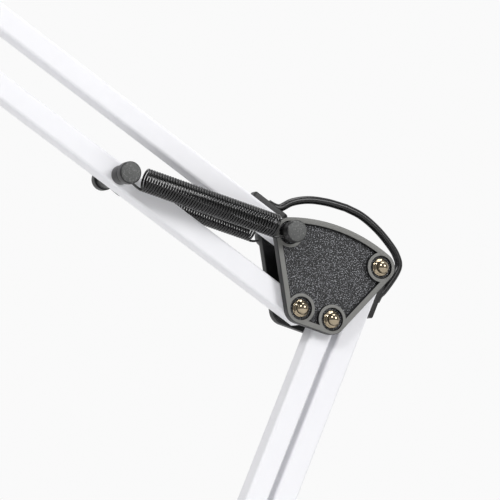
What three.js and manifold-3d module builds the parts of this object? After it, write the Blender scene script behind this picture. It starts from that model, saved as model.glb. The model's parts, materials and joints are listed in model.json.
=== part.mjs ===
// A free-standing desk lamp on a weighted round base. Two parallelogram arms of square tube meet
// at a pair of moulded elbow plates, and diagonal extension springs carry the weight of the head.
//
// Millimetres, +Z up. The origin is the centre of the base's underside. The arms fold in the XZ
// plane: the elbow stands to +X, the shade reaches back over -X, and the front of the lamp is -Y.

import * as THREE from 'three';
import { mergeVertices } from 'three/addons/utils/BufferGeometryUtils.js';
import Module from 'manifold-3d';

const wasm = await Module();
wasm.setup();

// ---------------------------------------------------------------------------------------------
// Driving dimensions
// ---------------------------------------------------------------------------------------------

const GAP = 0.3; // between pieces that meet or seat on each other
const RUNNING = 0.35; // radial clearance of a pin in its hole

const BAR = 12; // outside width of the square arm tube
const BAR_WALL = 1;
const BAR_CORNER = 1.5;
const BAR_OVERHANG = 6.5; // tube beyond its pivot at each end
const LOWER_ARM = 380; // pivot to pivot
const UPPER_ARM = 380;
const LINK = 40; // pivot to pivot on every plate, which makes each arm a parallelogram

const LOWER_ANGLE = 66.76; // degrees from +X to each arm or link, at rest
const LOWER_LINK_ANGLE = 44.6;
const UPPER_ANGLE = 146;
const UPPER_LINK_ANGLE = 99.2;
const ELBOW_STEP = 18.64; // from the upper arm's lower pivot to the lower arm's left pivot
const ELBOW_STEP_ANGLE = -17.2;

const PLATE = 5; // plate thickness
const PLATE_SIDE_GAP = 1.2; // between a bar's side and a plate's flat
const BOSS = 8; // outside radius round each pivot
const RIM = 3; // raised edge of a plate
const FIELD_DEPTH = 2.2; // how far the plate's field lies below its rim
const COUNTERBORE = 5.9; // radius
const COUNTERBORE_DEPTH = 1.2;
const TOP_BULGE = 83; // radius of the elbow's long top edge, at the boss centres

const BOLT = 2.5; // shank radius
const BOLT_HEAD = 4.6;
const BOLT_HEAD_HEIGHT = 2.8;
const BOLT_HEAD_ROUND = 1.4;
const NUT_FLAT = 4; // half the distance across the nut's flats
const NUT_HEIGHT = 2.2; // flange and hexagon together
const NUT_FLANGE = 4.8; // radius
const NUT_FLANGE_HEIGHT = 0.8;
const NUT_DOME = 3.3; // height of the cap above the hexagon
const NUT_DOME_RADIUS = 3.4;
const NUT_HOLE_SPARE = 0.4; // blind hole beyond the bolt's end

const SPRING_OUTSIDE = 6; // coil radius
const SPRING_WALL = 1.2;
const SPRING_STANDOFF = 3.3; // from a plate's face to each spring's axis
const SPRING_REACH = 119; // from a bar's pivot to its spring pin
const COIL_FROM_LINK_PIN = 9.2;
const COIL_FROM_BAR_PIN = 9.8;
const HOOK_WIRE = 0.7;
const PIN = 3; // spring pin shank radius
const PIN_GROOVE = 3.6;
const PIN_GROOVE_WIDTH = 2.4;
const PIN_COLLAR = 5;
const PIN_CAP = 5.8;
const PIN_END = 6.5; // pin beyond each spring's axis

const CORD = 2.1; // cord radius
const GROMMET_LENGTH = 23.3;
const GROMMET_START = 1.7; // from the pivot
const GROMMET_WIDTH = 7;
const GROMMET_HEIGHT = 3.4;
const GROMMET_FLOOR = 0.5; // left under the cord's channel
const CHANNEL_START = 3; // from the pivot
const CHANNEL_END = 15;

const BASE_RADIUS = 99.5;
const BASE_HEIGHT = 27;
const BASE_EDGE = 15; // height of the cover's upright edge
const COVER_WALL = 1.2;
const COVER_SHOULDER = 6.5;
const PAD_HEIGHT = 2.5;
const PAD_RADIUS = 98;
const WEIGHT_RADIUS = 90;
const WEIGHT_HEIGHT = 16;
const TURRET_HEIGHT = 35;
const TURRET_RADIUS = 20;
const TURRET_FLANGE = 26;
const COVER_FLAT = TURRET_FLANGE + 6; // flat land round the turret
const STEM = 13; // threaded stem below the turret
const SOCKET_NUT = 20; // corner radius of the turret's hexagon nut
const SOCKET_NUT_HEIGHT = 6;
const NUT_RECESS = SOCKET_NUT + 3; // recess radius under the weight
const NUT_RECESS_DEPTH = 9;
const CORD_CHANNEL = 5; // half the width of the weight's channel
const CORD_CHANNEL_DEPTH = 8;
const SPIGOT = 7;
const SPIGOT_DEPTH = 38; // spigot below the turret's top
const SPIGOT_BORE = 3.5;
const BUSH_WALL = 1.7;
const GLAND_HEIGHT = 8.8; // of the cord's way out of the base
const GLAND_LENGTH = 28;
const GLAND_WAIST = 4.3; // where it passes through the cover
const GLAND_FLANGE = 5.8;

const BRACKET_PIVOT_X = -14; // the bracket's left pivot
const BRACKET_PIVOT_RISE = 23; // above the bracket's foot
const BRACKET_WEB = 11;
const BRACKET_FOOT_FROM = -19; // the foot's reach along X
const BRACKET_FOOT_TO = 16;
const BRACKET_FOOT_RADIUS = 4;
const SPIGOT_SEAT = 8; // depth of the spigot's hole in the foot

const TILT_STEP_X = -34; // from the head's lower pivot to the tilt pivot
const TILT_STEP_Z = 14;
const HEAD_ANGLE = 170; // of the stem that carries the shade
const KNOB_RADIUS = 12;
const KNOB_LOBES = 5;
const KNOB_LOBE_HEIGHT = 2;
const KNOB_LENGTH = 8;
const KNOB_HUB = 8; // radius
const KNOB_STANDOFF = 3; // hub that shows behind the lobes
const KNOB_THREAD = 6; // tilt bolt past the plate's seat, into the knob
const STEM_PIN = 4.5;
const STEM_SHOULDER = 14;
const STEM_SHOULDER_RADIUS = 6.5;
const SIDE_BOSS = 9; // radius of the neck's boss round the stem
const NECK_DISTANCE = 50; // from the tilt pivot to the shade's axis
const NECK = 24;
const NECK_WALL = 1.8;
const NECK_HALF_HEIGHT = 30;
const VENTS = 8;
const VENT_WIDTH = 3;
const VENT_LOW = -6;
const VENT_HIGH = 14;
const SHADE_RADIUS = 78;
const SHADE_DEPTH = 110;
const SHADE_WALL = 1.3;
const SHADE_COLLAR = 12;
const RIM_BEAD = 0.9; // the rolled rim beyond the shade's wall
const BULB_RADIUS = 30;
const BULB_CENTRE = -93;
const BULB_WALL = 1.2;
const BULB_BASE = 13;
const BULB_TOP = -12; // height of the base's open end
const HOLDER_RADIUS = 17;
const HOLDER_CUP = BULB_BASE + 0.8; // radius of the cup that takes the bulb
const HOLDER_FLANGE = 14.5; // height of the flange's underside
const HOLDER_SKIRT = 6; // holder below the neck
const SWITCH_RADIUS = 5;
const SWITCH_HEIGHT = 6;
const SWITCH_COLLAR = 1.4; // that keeps the button in the neck

const COIL_CENTRE_X = -30.6; // the spare lead's coil, on the table behind the base
const COIL_CENTRE_Y = 178;
const COIL_INNER = 18;
const COIL_OUTER = 32;
const COIL_HEIGHT = 13.6;
const COIL_LIFT = 0.1; // above the table
const COIL_EDGE = 1.2; // chamfer

const PLUG_X = -84.5; // where the cord enters the plug
const PLUG_Y = 203.5;
const PLUG_Z = 7.3;
const PLUG_LENGTH = 38;
const PLUG_WIDER = 1.3; // its section is wider than it is high
const PLUG_LOWER = 0.7;
const PLUG_PIN = 2; // pin radius
const PLUG_PIN_LENGTH = 19;
const PLUG_PIN_SPACING = 19;

// ---------------------------------------------------------------------------------------------
// Places that follow from the dimensions
// ---------------------------------------------------------------------------------------------

const radians = THREE.MathUtils.degToRad;

/** A step in the XZ plane: [x, z] moved by length at an angle in degrees from +X towards +Z. */
function step([x, z], length, angle) {
  return [x + length * Math.cos(radians(angle)), z + length * Math.sin(radians(angle))];
}

const TURRET_TOP = BASE_HEIGHT + GAP + TURRET_HEIGHT;
const BUSH_FLANGE_TOP = TURRET_TOP + GAP + BUSH_WALL;
const BRACKET_FOOT = BUSH_FLANGE_TOP + GAP;

const B2 = [BRACKET_PIVOT_X, BRACKET_FOOT + BRACKET_PIVOT_RISE]; // bracket, left bar
const B1 = step(B2, LINK, LOWER_LINK_ANGLE); // bracket, right bar
const P2 = step(B2, LOWER_ARM, LOWER_ANGLE); // elbow, left bar of the lower arm
const P1 = step(B1, LOWER_ARM, LOWER_ANGLE); // elbow, right bar of the lower arm
const P3 = step(P2, ELBOW_STEP, ELBOW_STEP_ANGLE + 180); // elbow, low bar of the upper arm
const P4 = step(P3, LINK, UPPER_LINK_ANGLE); // elbow, high bar of the upper arm
const H3 = step(P3, UPPER_ARM, UPPER_ANGLE);
const H4 = step(P4, UPPER_ARM, UPPER_ANGLE);
const TILT = [H3[0] + TILT_STEP_X, H3[1] + TILT_STEP_Z];

const PLATE_INNER = BAR / 2 + PLATE_SIDE_GAP; // distance of a plate's flat from the middle plane
const PLATE_OUTER = PLATE_INNER + PLATE;
const PLATE_REACH = PLATE_OUTER + 2; // tools that trim a plate reach past its outer face
const SEAT = PLATE_OUTER - COUNTERBORE_DEPTH; // counterbore floor, where heads and nuts sit
const SPRING_OFFSET = PLATE_OUTER + SPRING_STANDOFF; // from the middle plane to a spring's axis
const PIN_REACH = SPRING_OFFSET + PIN_END; // from the middle plane to a pin's end

// ---------------------------------------------------------------------------------------------
// Materials
// ---------------------------------------------------------------------------------------------

/** A named finish. */
function finish(color, roughness, metalness) {
  return () => new THREE.MeshStandardMaterial({ color, roughness, metalness });
}

const whitePaint = finish(0xf1f1f4, 0.32, 0);
const blackPlastic = finish(0x2b2c2e, 0.55, 0);
const blackSteel = finish(0x131314, 0.3, 0.4);
const nickel = finish(0xd9cfc2, 0.14, 1);
const steel = finish(0xb4b5b8, 0.35, 1);
const castIron = finish(0x4a4a4c, 0.8, 0.6);
const rubber = finish(0x1b1b1c, 0.9, 0);
const cordPvc = finish(0x0f0f10, 0.4, 0);
const nylon = finish(0xe6e3da, 0.5, 0);
const opalGlass = finish(0xf7f4ea, 0.25, 0);
const ceramic = finish(0xeceae2, 0.3, 0);

// ---------------------------------------------------------------------------------------------
// Solids
// ---------------------------------------------------------------------------------------------

/** Six times the signed volume of one triangle's cone to the origin. */
function coneVolume(position, a, b, c) {
  const [p, q, r] = [a, b, c].map((i) => new THREE.Vector3().fromBufferAttribute(position, i));
  return p.dot(q.cross(r));
}

/** The solid inside a closed geometry, with its faces turned outwards. */
function solidOf(geometry) {
  const bare = geometry.clone();
  bare.deleteAttribute('normal');
  bare.deleteAttribute('uv');
  const merged = mergeVertices(bare, 1e-4);
  const { position } = merged.attributes;
  const index = merged.index.array;
  const triangles = [];
  let volume = 0;
  for (let i = 0; i < index.length; i += 3) {
    const [a, b, c] = index.slice(i, i + 3);
    if (a === b || b === c || c === a) continue;
    triangles.push([a, b, c]);
    volume += coneVolume(position, a, b, c);
  }
  const outward = ([a, b, c]) => (volume > 0 ? [a, b, c] : [a, c, b]);
  const triVerts = Uint32Array.from(triangles.flatMap(outward));
  const vertProperties = Float32Array.from(position.array);
  return new wasm.Manifold(new wasm.Mesh({ numProp: 3, vertProperties, triVerts }));
}

/** The geometry of a solid's surface. */
function geometryOf(solid) {
  const { vertProperties, triVerts } = solid.getMesh();
  const geometry = new THREE.BufferGeometry();
  geometry.setAttribute('position', new THREE.BufferAttribute(vertProperties, 3));
  geometry.setIndex(new THREE.BufferAttribute(triVerts, 1));
  geometry.computeVertexNormals();
  return geometry;
}

/** One solid from a base, the solids added to it and then the solids cut from it. */
function carve(base, cuts, joins = []) {
  const joined = joins.reduce((whole, piece) => whole.add(piece), base);
  return cuts.reduce((whole, tool) => whole.subtract(tool), joined);
}

/** A named mesh of a solid in a finish. */
function piece(name, solid, material) {
  const mesh = new THREE.Mesh(geometryOf(solid), material());
  mesh.name = name;
  return mesh;
}

/** A flat shape drawn in X and Z, filled from yFront to yBack. */
function slab(shape, yFront, yBack, curveSegments = 5) {
  const geometry = new THREE.ExtrudeGeometry(shape, {
    depth: yBack - yFront,
    bevelEnabled: false,
    curveSegments,
  });
  geometry.rotateX(Math.PI / 2);
  geometry.translate(0, yBack, 0);
  return solidOf(geometry);
}

/** Points of a profile, given as [radius, height] pairs. */
function profilePoints(profile) {
  return profile.map(([radius, height]) => new THREE.Vector2(radius, height));
}

/** A turned solid on an axis along Y through [x, z]; heights of the profile are Y. */
function turnedAlongY(profile, [x, z] = [0, 0], sides = 12) {
  const geometry = new THREE.LatheGeometry(profilePoints(profile), sides);
  geometry.translate(x, 0, z);
  return solidOf(geometry);
}

/** A turned solid on the Z axis; heights of the profile are Z. */
function turnedAlongZ(profile, sides = 32) {
  const geometry = new THREE.LatheGeometry(profilePoints(profile), sides);
  geometry.rotateX(Math.PI / 2);
  return solidOf(geometry);
}

/** A turned solid on the X axis; heights of the profile are X. */
function turnedAlongX(profile, sides = 14) {
  const geometry = new THREE.LatheGeometry(profilePoints(profile), sides);
  geometry.rotateZ(-Math.PI / 2);
  return solidOf(geometry);
}

/** The profile of a plain rod between two heights. */
function rod(radius, low, high) {
  return [[0, low], [radius, low], [radius, high], [0, high]];
}

/** The closed profile of a plain tube. */
function tube(inner, outer, low, high) {
  return [[inner, low], [outer, low], [outer, high], [inner, high], [inner, low]];
}

/** A box between two corners. */
function box(low, high) {
  const size = high.map((value, axis) => value - low[axis]);
  const geometry = new THREE.BoxGeometry(...size);
  geometry.translate(...low.map((value, axis) => value + size[axis] / 2));
  return solidOf(geometry);
}

/** A round wire or cord of a radius along a curve through the points. */
function wire(points, radius, steps, sides = 8) {
  const section = [];
  for (let side = 0; side < sides; side += 1) {
    const turn = (side / sides) * 2 * Math.PI;
    section.push(new THREE.Vector2(radius * Math.cos(turn), radius * Math.sin(turn)));
  }
  const extrudePath = new THREE.CatmullRomCurve3(points.map((point) => new THREE.Vector3(...point)));
  const geometry = new THREE.ExtrudeGeometry(new THREE.Shape(section), { steps, extrudePath });
  return solidOf(geometry);
}

// ---------------------------------------------------------------------------------------------
// Flat outlines
// ---------------------------------------------------------------------------------------------

/** The angle at which the common outer tangent of two discs touches them, going anticlockwise. */
function tangentAngle([[ax, az], aRadius], [[bx, bz], bRadius]) {
  const distance = Math.hypot(bx - ax, bz - az);
  return Math.atan2(bz - az, bx - ax) - Math.acos((aRadius - bRadius) / distance);
}

/** The angle at which a wide arc of the given radius round both disc centres touches a disc. */
function bulgeAngles([[ax, az]], [[bx, bz]], reach) {
  const half = Math.hypot(bx - ax, bz - az) / 2;
  const normal = Math.atan2(bz - az, bx - ax) - Math.PI / 2;
  const spread = Math.asin(half / reach);
  const depth = Math.sqrt(reach * reach - half * half);
  const centre = [
    (ax + bx) / 2 - depth * Math.cos(normal),
    (az + bz) / 2 - depth * Math.sin(normal),
  ];
  return { centre, from: normal - spread, to: normal + spread };
}

/**
 * The outline round discs listed anticlockwise as [centre, radius]. Straight tangents join them,
 * except that the edge after disc number bulgeAfter is one wide arc.
 */
function outline(discs, bulgeAfter = -1, reach = 0) {
  const edges = discs.map((disc, number) => {
    const next = discs[(number + 1) % discs.length];
    if (number === bulgeAfter) return bulgeAngles(disc, next, reach);
    const angle = tangentAngle(disc, next);
    return { from: angle, to: angle };
  });
  const shape = new THREE.Shape();
  discs.forEach(([[x, z], radius], number) => {
    const before = edges[(number + discs.length - 1) % discs.length];
    const after = edges[number];
    shape.absarc(x, z, radius, before.to, after.from, false);
    if (after.centre) {
      shape.absarc(...after.centre, reach + radius, after.from, after.to, false);
    }
  });
  shape.closePath();
  return shape;
}

/** The same discs with their radius changed. */
function grown(discs, extra) {
  return discs.map(([centre, radius]) => [centre, radius + extra]);
}

/** A square with rounded corners about the origin. */
function roundedSquare(width, corner) {
  const inset = width / 2 - corner;
  const corners = [[inset, inset], [-inset, inset], [-inset, -inset], [inset, -inset]];
  return outline(corners.map((centre) => [centre, corner]));
}

// ---------------------------------------------------------------------------------------------
// Fasteners and pins, all on axes along Y
// ---------------------------------------------------------------------------------------------

/** A round-headed bolt with its head in the rear plate and its end past the front plate's seat. */
function boltSolid(place, past = NUT_HEIGHT) {
  const shankEnd = -(SEAT + past);
  const headSeat = SEAT + GAP;
  const headTop = headSeat + BOLT_HEAD_HEIGHT;
  return turnedAlongY([
    [0, shankEnd],
    [BOLT, shankEnd],
    [BOLT, headSeat],
    [BOLT_HEAD, headSeat],
    [BOLT_HEAD, headTop - BOLT_HEAD_ROUND],
    [BOLT_HEAD - BOLT_HEAD_ROUND, headTop - GAP],
    [0, headTop],
  ], place);
}

/** The outside of a flanged hexagon nut with a domed cap, in front of the front plate. */
function capNutBody([x, z]) {
  const seat = -(SEAT + GAP);
  const face = seat - NUT_HEIGHT;
  const corner = NUT_FLAT / Math.cos(Math.PI / 6);
  const hexagon = turnedAlongY(rod(corner, face, seat), [x, z], 6);
  const flange = turnedAlongY(rod(NUT_FLANGE, seat - NUT_FLANGE_HEIGHT, seat), [x, z], 16);
  const dome = [[0, face - NUT_DOME]];
  for (let ring = 1; ring <= 3; ring += 1) {
    const turn = (ring / 3) * (Math.PI / 2);
    dome.push([NUT_DOME_RADIUS * Math.sin(turn), face - NUT_DOME * Math.cos(turn)]);
  }
  dome.push([NUT_DOME_RADIUS, face + 0.5], [0, face + 0.5]);
  return carve(hexagon, [], [flange, turnedAlongY(dome, [x, z], 10)]);
}

/** A cap nut with the blind hole that takes the bolt's end. */
function capNutSolid(place) {
  const seat = -(SEAT + GAP);
  const hole = turnedAlongY(rod(BOLT + RUNNING, seat - NUT_HEIGHT - NUT_HOLE_SPARE, seat + 1), place);
  return capNutBody(place).subtract(hole);
}

/** A bolt and its cap nut as one piece, for pivots that are closed for good. */
function rivetedPivot(place) {
  return boltSolid(place).add(capNutBody(place));
}

/** A long pin whose grooved ends stand out at both sides and hold a pair of springs. */
function springPin(place, collarStart) {
  const groove = SPRING_OFFSET - PIN_GROOVE_WIDTH / 2;
  const cap = SPRING_OFFSET + PIN_GROOVE_WIDTH / 2;
  const half = [
    [PIN, collarStart],
    [PIN_COLLAR, collarStart],
    [PIN_COLLAR, groove],
    [PIN_GROOVE, groove],
    [PIN_GROOVE, cap],
    [PIN_CAP, cap],
    [PIN_CAP, PIN_REACH - 0.8],
    [PIN_CAP - 0.9, PIN_REACH],
    [0, PIN_REACH],
  ];
  const mirrored = half.map(([radius, height]) => [radius, -height]).reverse();
  return turnedAlongY([...mirrored, ...half], place);
}

/** The hole that a pin or bolt needs through everything between the outer faces. */
function pivotHole(place, shank) {
  return turnedAlongY(rod(shank + RUNNING, -PIN_REACH, PIN_REACH), place);
}

// ---------------------------------------------------------------------------------------------
// Plates
// ---------------------------------------------------------------------------------------------

/**
 * A moulded side plate with a raised rim, ringed bosses and a sunken field.
 * side is -1 for the front plate and 1 for the rear one.
 */
function sidePlate(side, discs, shanks, bulgeAfter = -1, reach = 0) {
  const between = (near, far) => (side < 0 ? [-far, -near] : [near, far]);
  const body = slab(outline(discs, bulgeAfter, reach), ...between(PLATE_INNER, PLATE_OUTER));
  const fieldShape = outline(grown(discs, -RIM), bulgeAfter, reach);
  const field = slab(fieldShape, ...between(PLATE_OUTER - FIELD_DEPTH, PLATE_OUTER + 1));
  const places = discs.map(([centre]) => centre);
  const rings = places.map((place) => turnedAlongY(rod(BOSS, ...between(0, PLATE_REACH)), place, 14));
  const sunken = carve(field, rings);
  const counterbores = places.map((place) =>
    turnedAlongY(rod(COUNTERBORE, ...between(SEAT, PLATE_OUTER + 1)), place, 14));
  const holes = places.map((place, number) => pivotHole(place, shanks[number]));
  const pads = places.map((place) =>
    turnedAlongY(rod(BOSS - 1.5, ...between(BAR / 2 + GAP, PLATE_INNER + 1)), place));
  return carve(body, [sunken, ...counterbores, ...holes], pads);
}

// ---------------------------------------------------------------------------------------------
// Arms. A bar lies along its own +X from its first pivot; its outer side is its own -Z.
// ---------------------------------------------------------------------------------------------

/** Places a group in the XZ plane with its own +X turned to an angle. */
function placed([x, z], angle, children) {
  const group = new THREE.Group();
  group.position.set(x, 0, z);
  group.rotation.y = -radians(angle);
  group.add(...children);
  return group;
}

/** A square tube with cross holes given as [distance, shank] and cord slots given as distances. */
function barSolid(length, holes, slots = []) {
  const shape = roundedSquare(BAR, BAR_CORNER);
  shape.holes.push(roundedSquare(BAR - 2 * BAR_WALL, BAR_CORNER - BAR_WALL));
  const geometry = new THREE.ExtrudeGeometry(shape, {
    depth: length + 2 * BAR_OVERHANG,
    bevelEnabled: false,
    curveSegments: 2,
  });
  geometry.rotateY(Math.PI / 2);
  geometry.translate(-BAR_OVERHANG, 0, 0);
  const crossHoles = holes.map(([distance, shank]) => pivotHole([distance, 0], shank));
  const cordSlots = slots.map((distance) => box(
    [distance - 5, -CORD - RUNNING, -BAR / 2 - 1],
    [distance + 5, CORD + RUNNING, -BAR / 2 + BAR_WALL + 0.5],
  ));
  return carve(solidOf(geometry), [...crossHoles, ...cordSlots]);
}

/**
 * The raised strip on a bar's outer side that the cord leaves by. It lies along +X from its round
 * nose near the pivot, and the channel in its top holds the cord's first stretch.
 */
function grommetSolid() {
  const round = GROMMET_WIDTH / 2;
  const noseAt = GROMMET_START + round;
  const tail = GROMMET_START + GROMMET_LENGTH;
  const top = -BAR / 2 - GAP - GROMMET_HEIGHT;
  const shape = new THREE.Shape();
  shape.moveTo(tail, -round);
  shape.lineTo(tail, round);
  shape.absarc(noseAt, 0, round, Math.PI / 2, (3 * Math.PI) / 2, false);
  shape.closePath();
  const geometry = new THREE.ExtrudeGeometry(shape, {
    depth: GROMMET_HEIGHT,
    bevelEnabled: false,
    curveSegments: 6,
  });
  geometry.translate(0, 0, top);
  const channel = box(
    [CHANNEL_START, -CORD - RUNNING, top - 1],
    [CHANNEL_END, CORD + RUNNING, -BAR / 2 - GAP - GROMMET_FLOOR],
  );
  return solidOf(geometry).subtract(channel);
}

/** The bar that carries the cord: tube, inner cord and a grommet at each end. */
function cordBar(prefix, side, length, shanks) {
  const tail = GROMMET_START + GROMMET_LENGTH;
  const slotAt = (CHANNEL_END + tail) / 2;
  const cordFrom = tail + 2;
  const holes = [[0, shanks[0]], [length, shanks[1]]];
  const farGrommet = grommetSolid().rotate([0, 0, 180]).translate([length, 0, 0]);
  return [
    piece(`${prefix}_bar_${side}`, barSolid(length, holes, [slotAt, length - slotAt]), whitePaint),
    piece(`${prefix}_cord_run`, turnedAlongX(rod(CORD, cordFrom, length - cordFrom), 8), cordPvc),
    piece(`${prefix}_grommet_near`, grommetSolid(), blackPlastic),
    piece(`${prefix}_grommet_far`, farGrommet, blackPlastic),
  ];
}

/** The bar that carries the spring pin. */
function springBar(prefix, side, length, shanks) {
  const holes = [[0, shanks[0]], [length, shanks[1]], [SPRING_REACH, PIN]];
  return [
    piece(`${prefix}_bar_${side}`, barSolid(length, holes), whitePaint),
    piece(`${prefix}_spring_pin`, springPin([SPRING_REACH, 0], BAR / 2 + GAP), blackSteel),
  ];
}

// ---------------------------------------------------------------------------------------------
// Springs. A spring lies along its own +X from the link's pin to the bar's pin.
// ---------------------------------------------------------------------------------------------

/** A hook of wire that leaves the axis at the coil's end and wraps most of a pin's groove. */
function hookSolid(pinAt, coilEnd, y) {
  const wrap = PIN_GROOVE + GAP + HOOK_WIRE;
  const towards = Math.sign(coilEnd - pinAt);
  const points = [[coilEnd, y, 0]];
  for (let turn = 35; turn <= 290; turn += 25.5) {
    points.push([
      pinAt + towards * wrap * Math.cos(radians(turn)),
      y,
      wrap * Math.sin(radians(turn)),
    ]);
  }
  return wire(points, HOOK_WIRE, 12, 6);
}

/** One spring: the coil's sleeve with the hook on the link's pin, and the hook on the bar's pin. */
function springPieces(prefix, place, y, length) {
  const start = COIL_FROM_LINK_PIN;
  const end = length - COIL_FROM_BAR_PIN;
  const sleeve = turnedAlongX([
    [0, start],
    [SPRING_OUTSIDE, start],
    [SPRING_OUTSIDE, end],
    [SPRING_OUTSIDE - SPRING_WALL, end],
    [SPRING_OUTSIDE - SPRING_WALL, start + SPRING_WALL],
    [0, start + SPRING_WALL],
  ], 12).translate([0, y, 0]);
  const coil = sleeve.add(hookSolid(0, start + 0.4, y));
  return [
    piece(`${prefix}_spring_${place}`, coil, blackSteel),
    piece(`${prefix}_spring_hook_${place}`, hookSolid(length, end + GAP, y), blackSteel),
  ];
}

/** Both springs between the link's pin and the bar's pin, given as [x, z] places. */
function springPair(prefix, linkPin, barPin) {
  const along = [barPin[0] - linkPin[0], barPin[1] - linkPin[1]];
  const length = Math.hypot(...along);
  const angle = THREE.MathUtils.radToDeg(Math.atan2(along[1], along[0]));
  const front = springPieces(prefix, 'front', -SPRING_OFFSET, length);
  const rear = springPieces(prefix, 'rear', SPRING_OFFSET, length);
  return placed(linkPin, angle, [...front, ...rear]);
}

// ---------------------------------------------------------------------------------------------
// Base and bracket
// ---------------------------------------------------------------------------------------------

/** The painted pressed-steel cover over the weight. */
function coverSolid() {
  const edgeBottom = PAD_HEIGHT + 0.5;
  const outer = [[BASE_RADIUS, edgeBottom]];
  for (let ring = 0; ring <= 3; ring += 1) {
    const turn = (ring / 3) * (Math.PI / 2);
    outer.push([
      BASE_RADIUS - COVER_SHOULDER * (1 - Math.cos(turn)),
      BASE_EDGE + COVER_SHOULDER * Math.sin(turn),
    ]);
  }
  outer.push([COVER_FLAT, BASE_HEIGHT], [STEM + RUNNING, BASE_HEIGHT]);
  const inner = [
    [BASE_RADIUS - COVER_WALL, edgeBottom],
    [BASE_RADIUS - COVER_WALL, BASE_EDGE],
    [BASE_RADIUS - COVER_SHOULDER, BASE_EDGE + COVER_SHOULDER - COVER_WALL],
    [COVER_FLAT, BASE_HEIGHT - COVER_WALL],
    [STEM + RUNNING, BASE_HEIGHT - COVER_WALL],
  ];
  const shell = turnedAlongZ([...outer, ...inner.reverse(), outer[0]], 30);
  const cordHole = turnedAlongY(rod(GLAND_WAIST + 0.4, BASE_RADIUS - 12, BASE_RADIUS + 3), [0, GLAND_HEIGHT]);
  return shell.subtract(cordHole);
}

/** The cast disc that keeps the lamp upright, with a nut recess and a channel for the cord. */
function weightSolid() {
  const bottom = PAD_HEIGHT + GAP;
  const top = bottom + WEIGHT_HEIGHT;
  const nutRecess = bottom + NUT_RECESS_DEPTH;
  const disc = turnedAlongZ([
    [NUT_RECESS, bottom],
    [WEIGHT_RADIUS, bottom],
    [WEIGHT_RADIUS, top - 2],
    [WEIGHT_RADIUS - 2, top],
    [STEM + RUNNING, top],
    [STEM + RUNNING, nutRecess],
    [NUT_RECESS, nutRecess],
    [NUT_RECESS, bottom],
  ], 28);
  const channel = box(
    [-CORD_CHANNEL, 0, bottom - 1],
    [CORD_CHANNEL, WEIGHT_RADIUS + 2, bottom + CORD_CHANNEL_DEPTH],
  );
  return disc.subtract(channel);
}

/** The turret that the bracket's spigot turns in. */
function socketSolid() {
  const flangeBottom = BASE_HEIGHT + GAP;
  const stemBottom = PAD_HEIGHT + 2;
  const boreBottom = TURRET_TOP - SPIGOT_DEPTH - 4;
  const bore = SPIGOT + RUNNING + BUSH_WALL + GAP;
  return turnedAlongZ([
    [SPIGOT_BORE + 1, stemBottom],
    [STEM, stemBottom],
    [STEM, flangeBottom],
    [TURRET_FLANGE, flangeBottom],
    [TURRET_FLANGE, flangeBottom + 3],
    [TURRET_FLANGE - 1.5, flangeBottom + 4.5],
    [TURRET_RADIUS + 1, flangeBottom + 6.5],
    [TURRET_RADIUS, flangeBottom + 10],
    [TURRET_RADIUS - 2, TURRET_TOP - 1.5],
    [TURRET_RADIUS - 3.5, TURRET_TOP],
    [bore, TURRET_TOP],
    [bore, boreBottom],
    [SPIGOT_BORE + 1, boreBottom],
    [SPIGOT_BORE + 1, stemBottom],
  ], 22);
}

/** The nylon bush between the turret and the spigot. */
function bushSolid() {
  const inner = SPIGOT + RUNNING;
  const flangeBottom = TURRET_TOP + GAP;
  return turnedAlongZ([
    [inner, TURRET_TOP - SPIGOT_DEPTH - 2],
    [inner + BUSH_WALL, TURRET_TOP - SPIGOT_DEPTH - 2],
    [inner + BUSH_WALL, flangeBottom],
    [inner + BUSH_WALL + 4, flangeBottom],
    [inner + BUSH_WALL + 4, BUSH_FLANGE_TOP],
    [inner, BUSH_FLANGE_TOP],
    [inner, TURRET_TOP - SPIGOT_DEPTH - 2],
  ], 20);
}

/** The hexagon nut that draws the turret down on the cover and the weight. */
function socketNutSolid() {
  const low = PAD_HEIGHT + 3;
  const high = low + SOCKET_NUT_HEIGHT;
  const bore = turnedAlongZ(rod(STEM + RUNNING, low - 1, high + 1), 32);
  return turnedAlongZ(rod(SOCKET_NUT, low, high), 6).subtract(bore);
}

/** The tapered strain relief where the lead leaves the base. */
function glandSolid() {
  const inside = BASE_RADIUS - COVER_WALL - 0.7;
  const outside = BASE_RADIUS + GAP;
  return turnedAlongY([
    [0, inside - 5],
    [GLAND_FLANGE, inside - 5],
    [GLAND_FLANGE, inside],
    [GLAND_WAIST, inside],
    [GLAND_WAIST, outside],
    [GLAND_FLANGE, outside],
    [GLAND_FLANGE, outside + 3],
    [4.4, outside + 4],
    [CORD + 0.9, outside + GLAND_LENGTH],
    [0, outside + GLAND_LENGTH],
  ], [0, GLAND_HEIGHT], 14);
}

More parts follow.
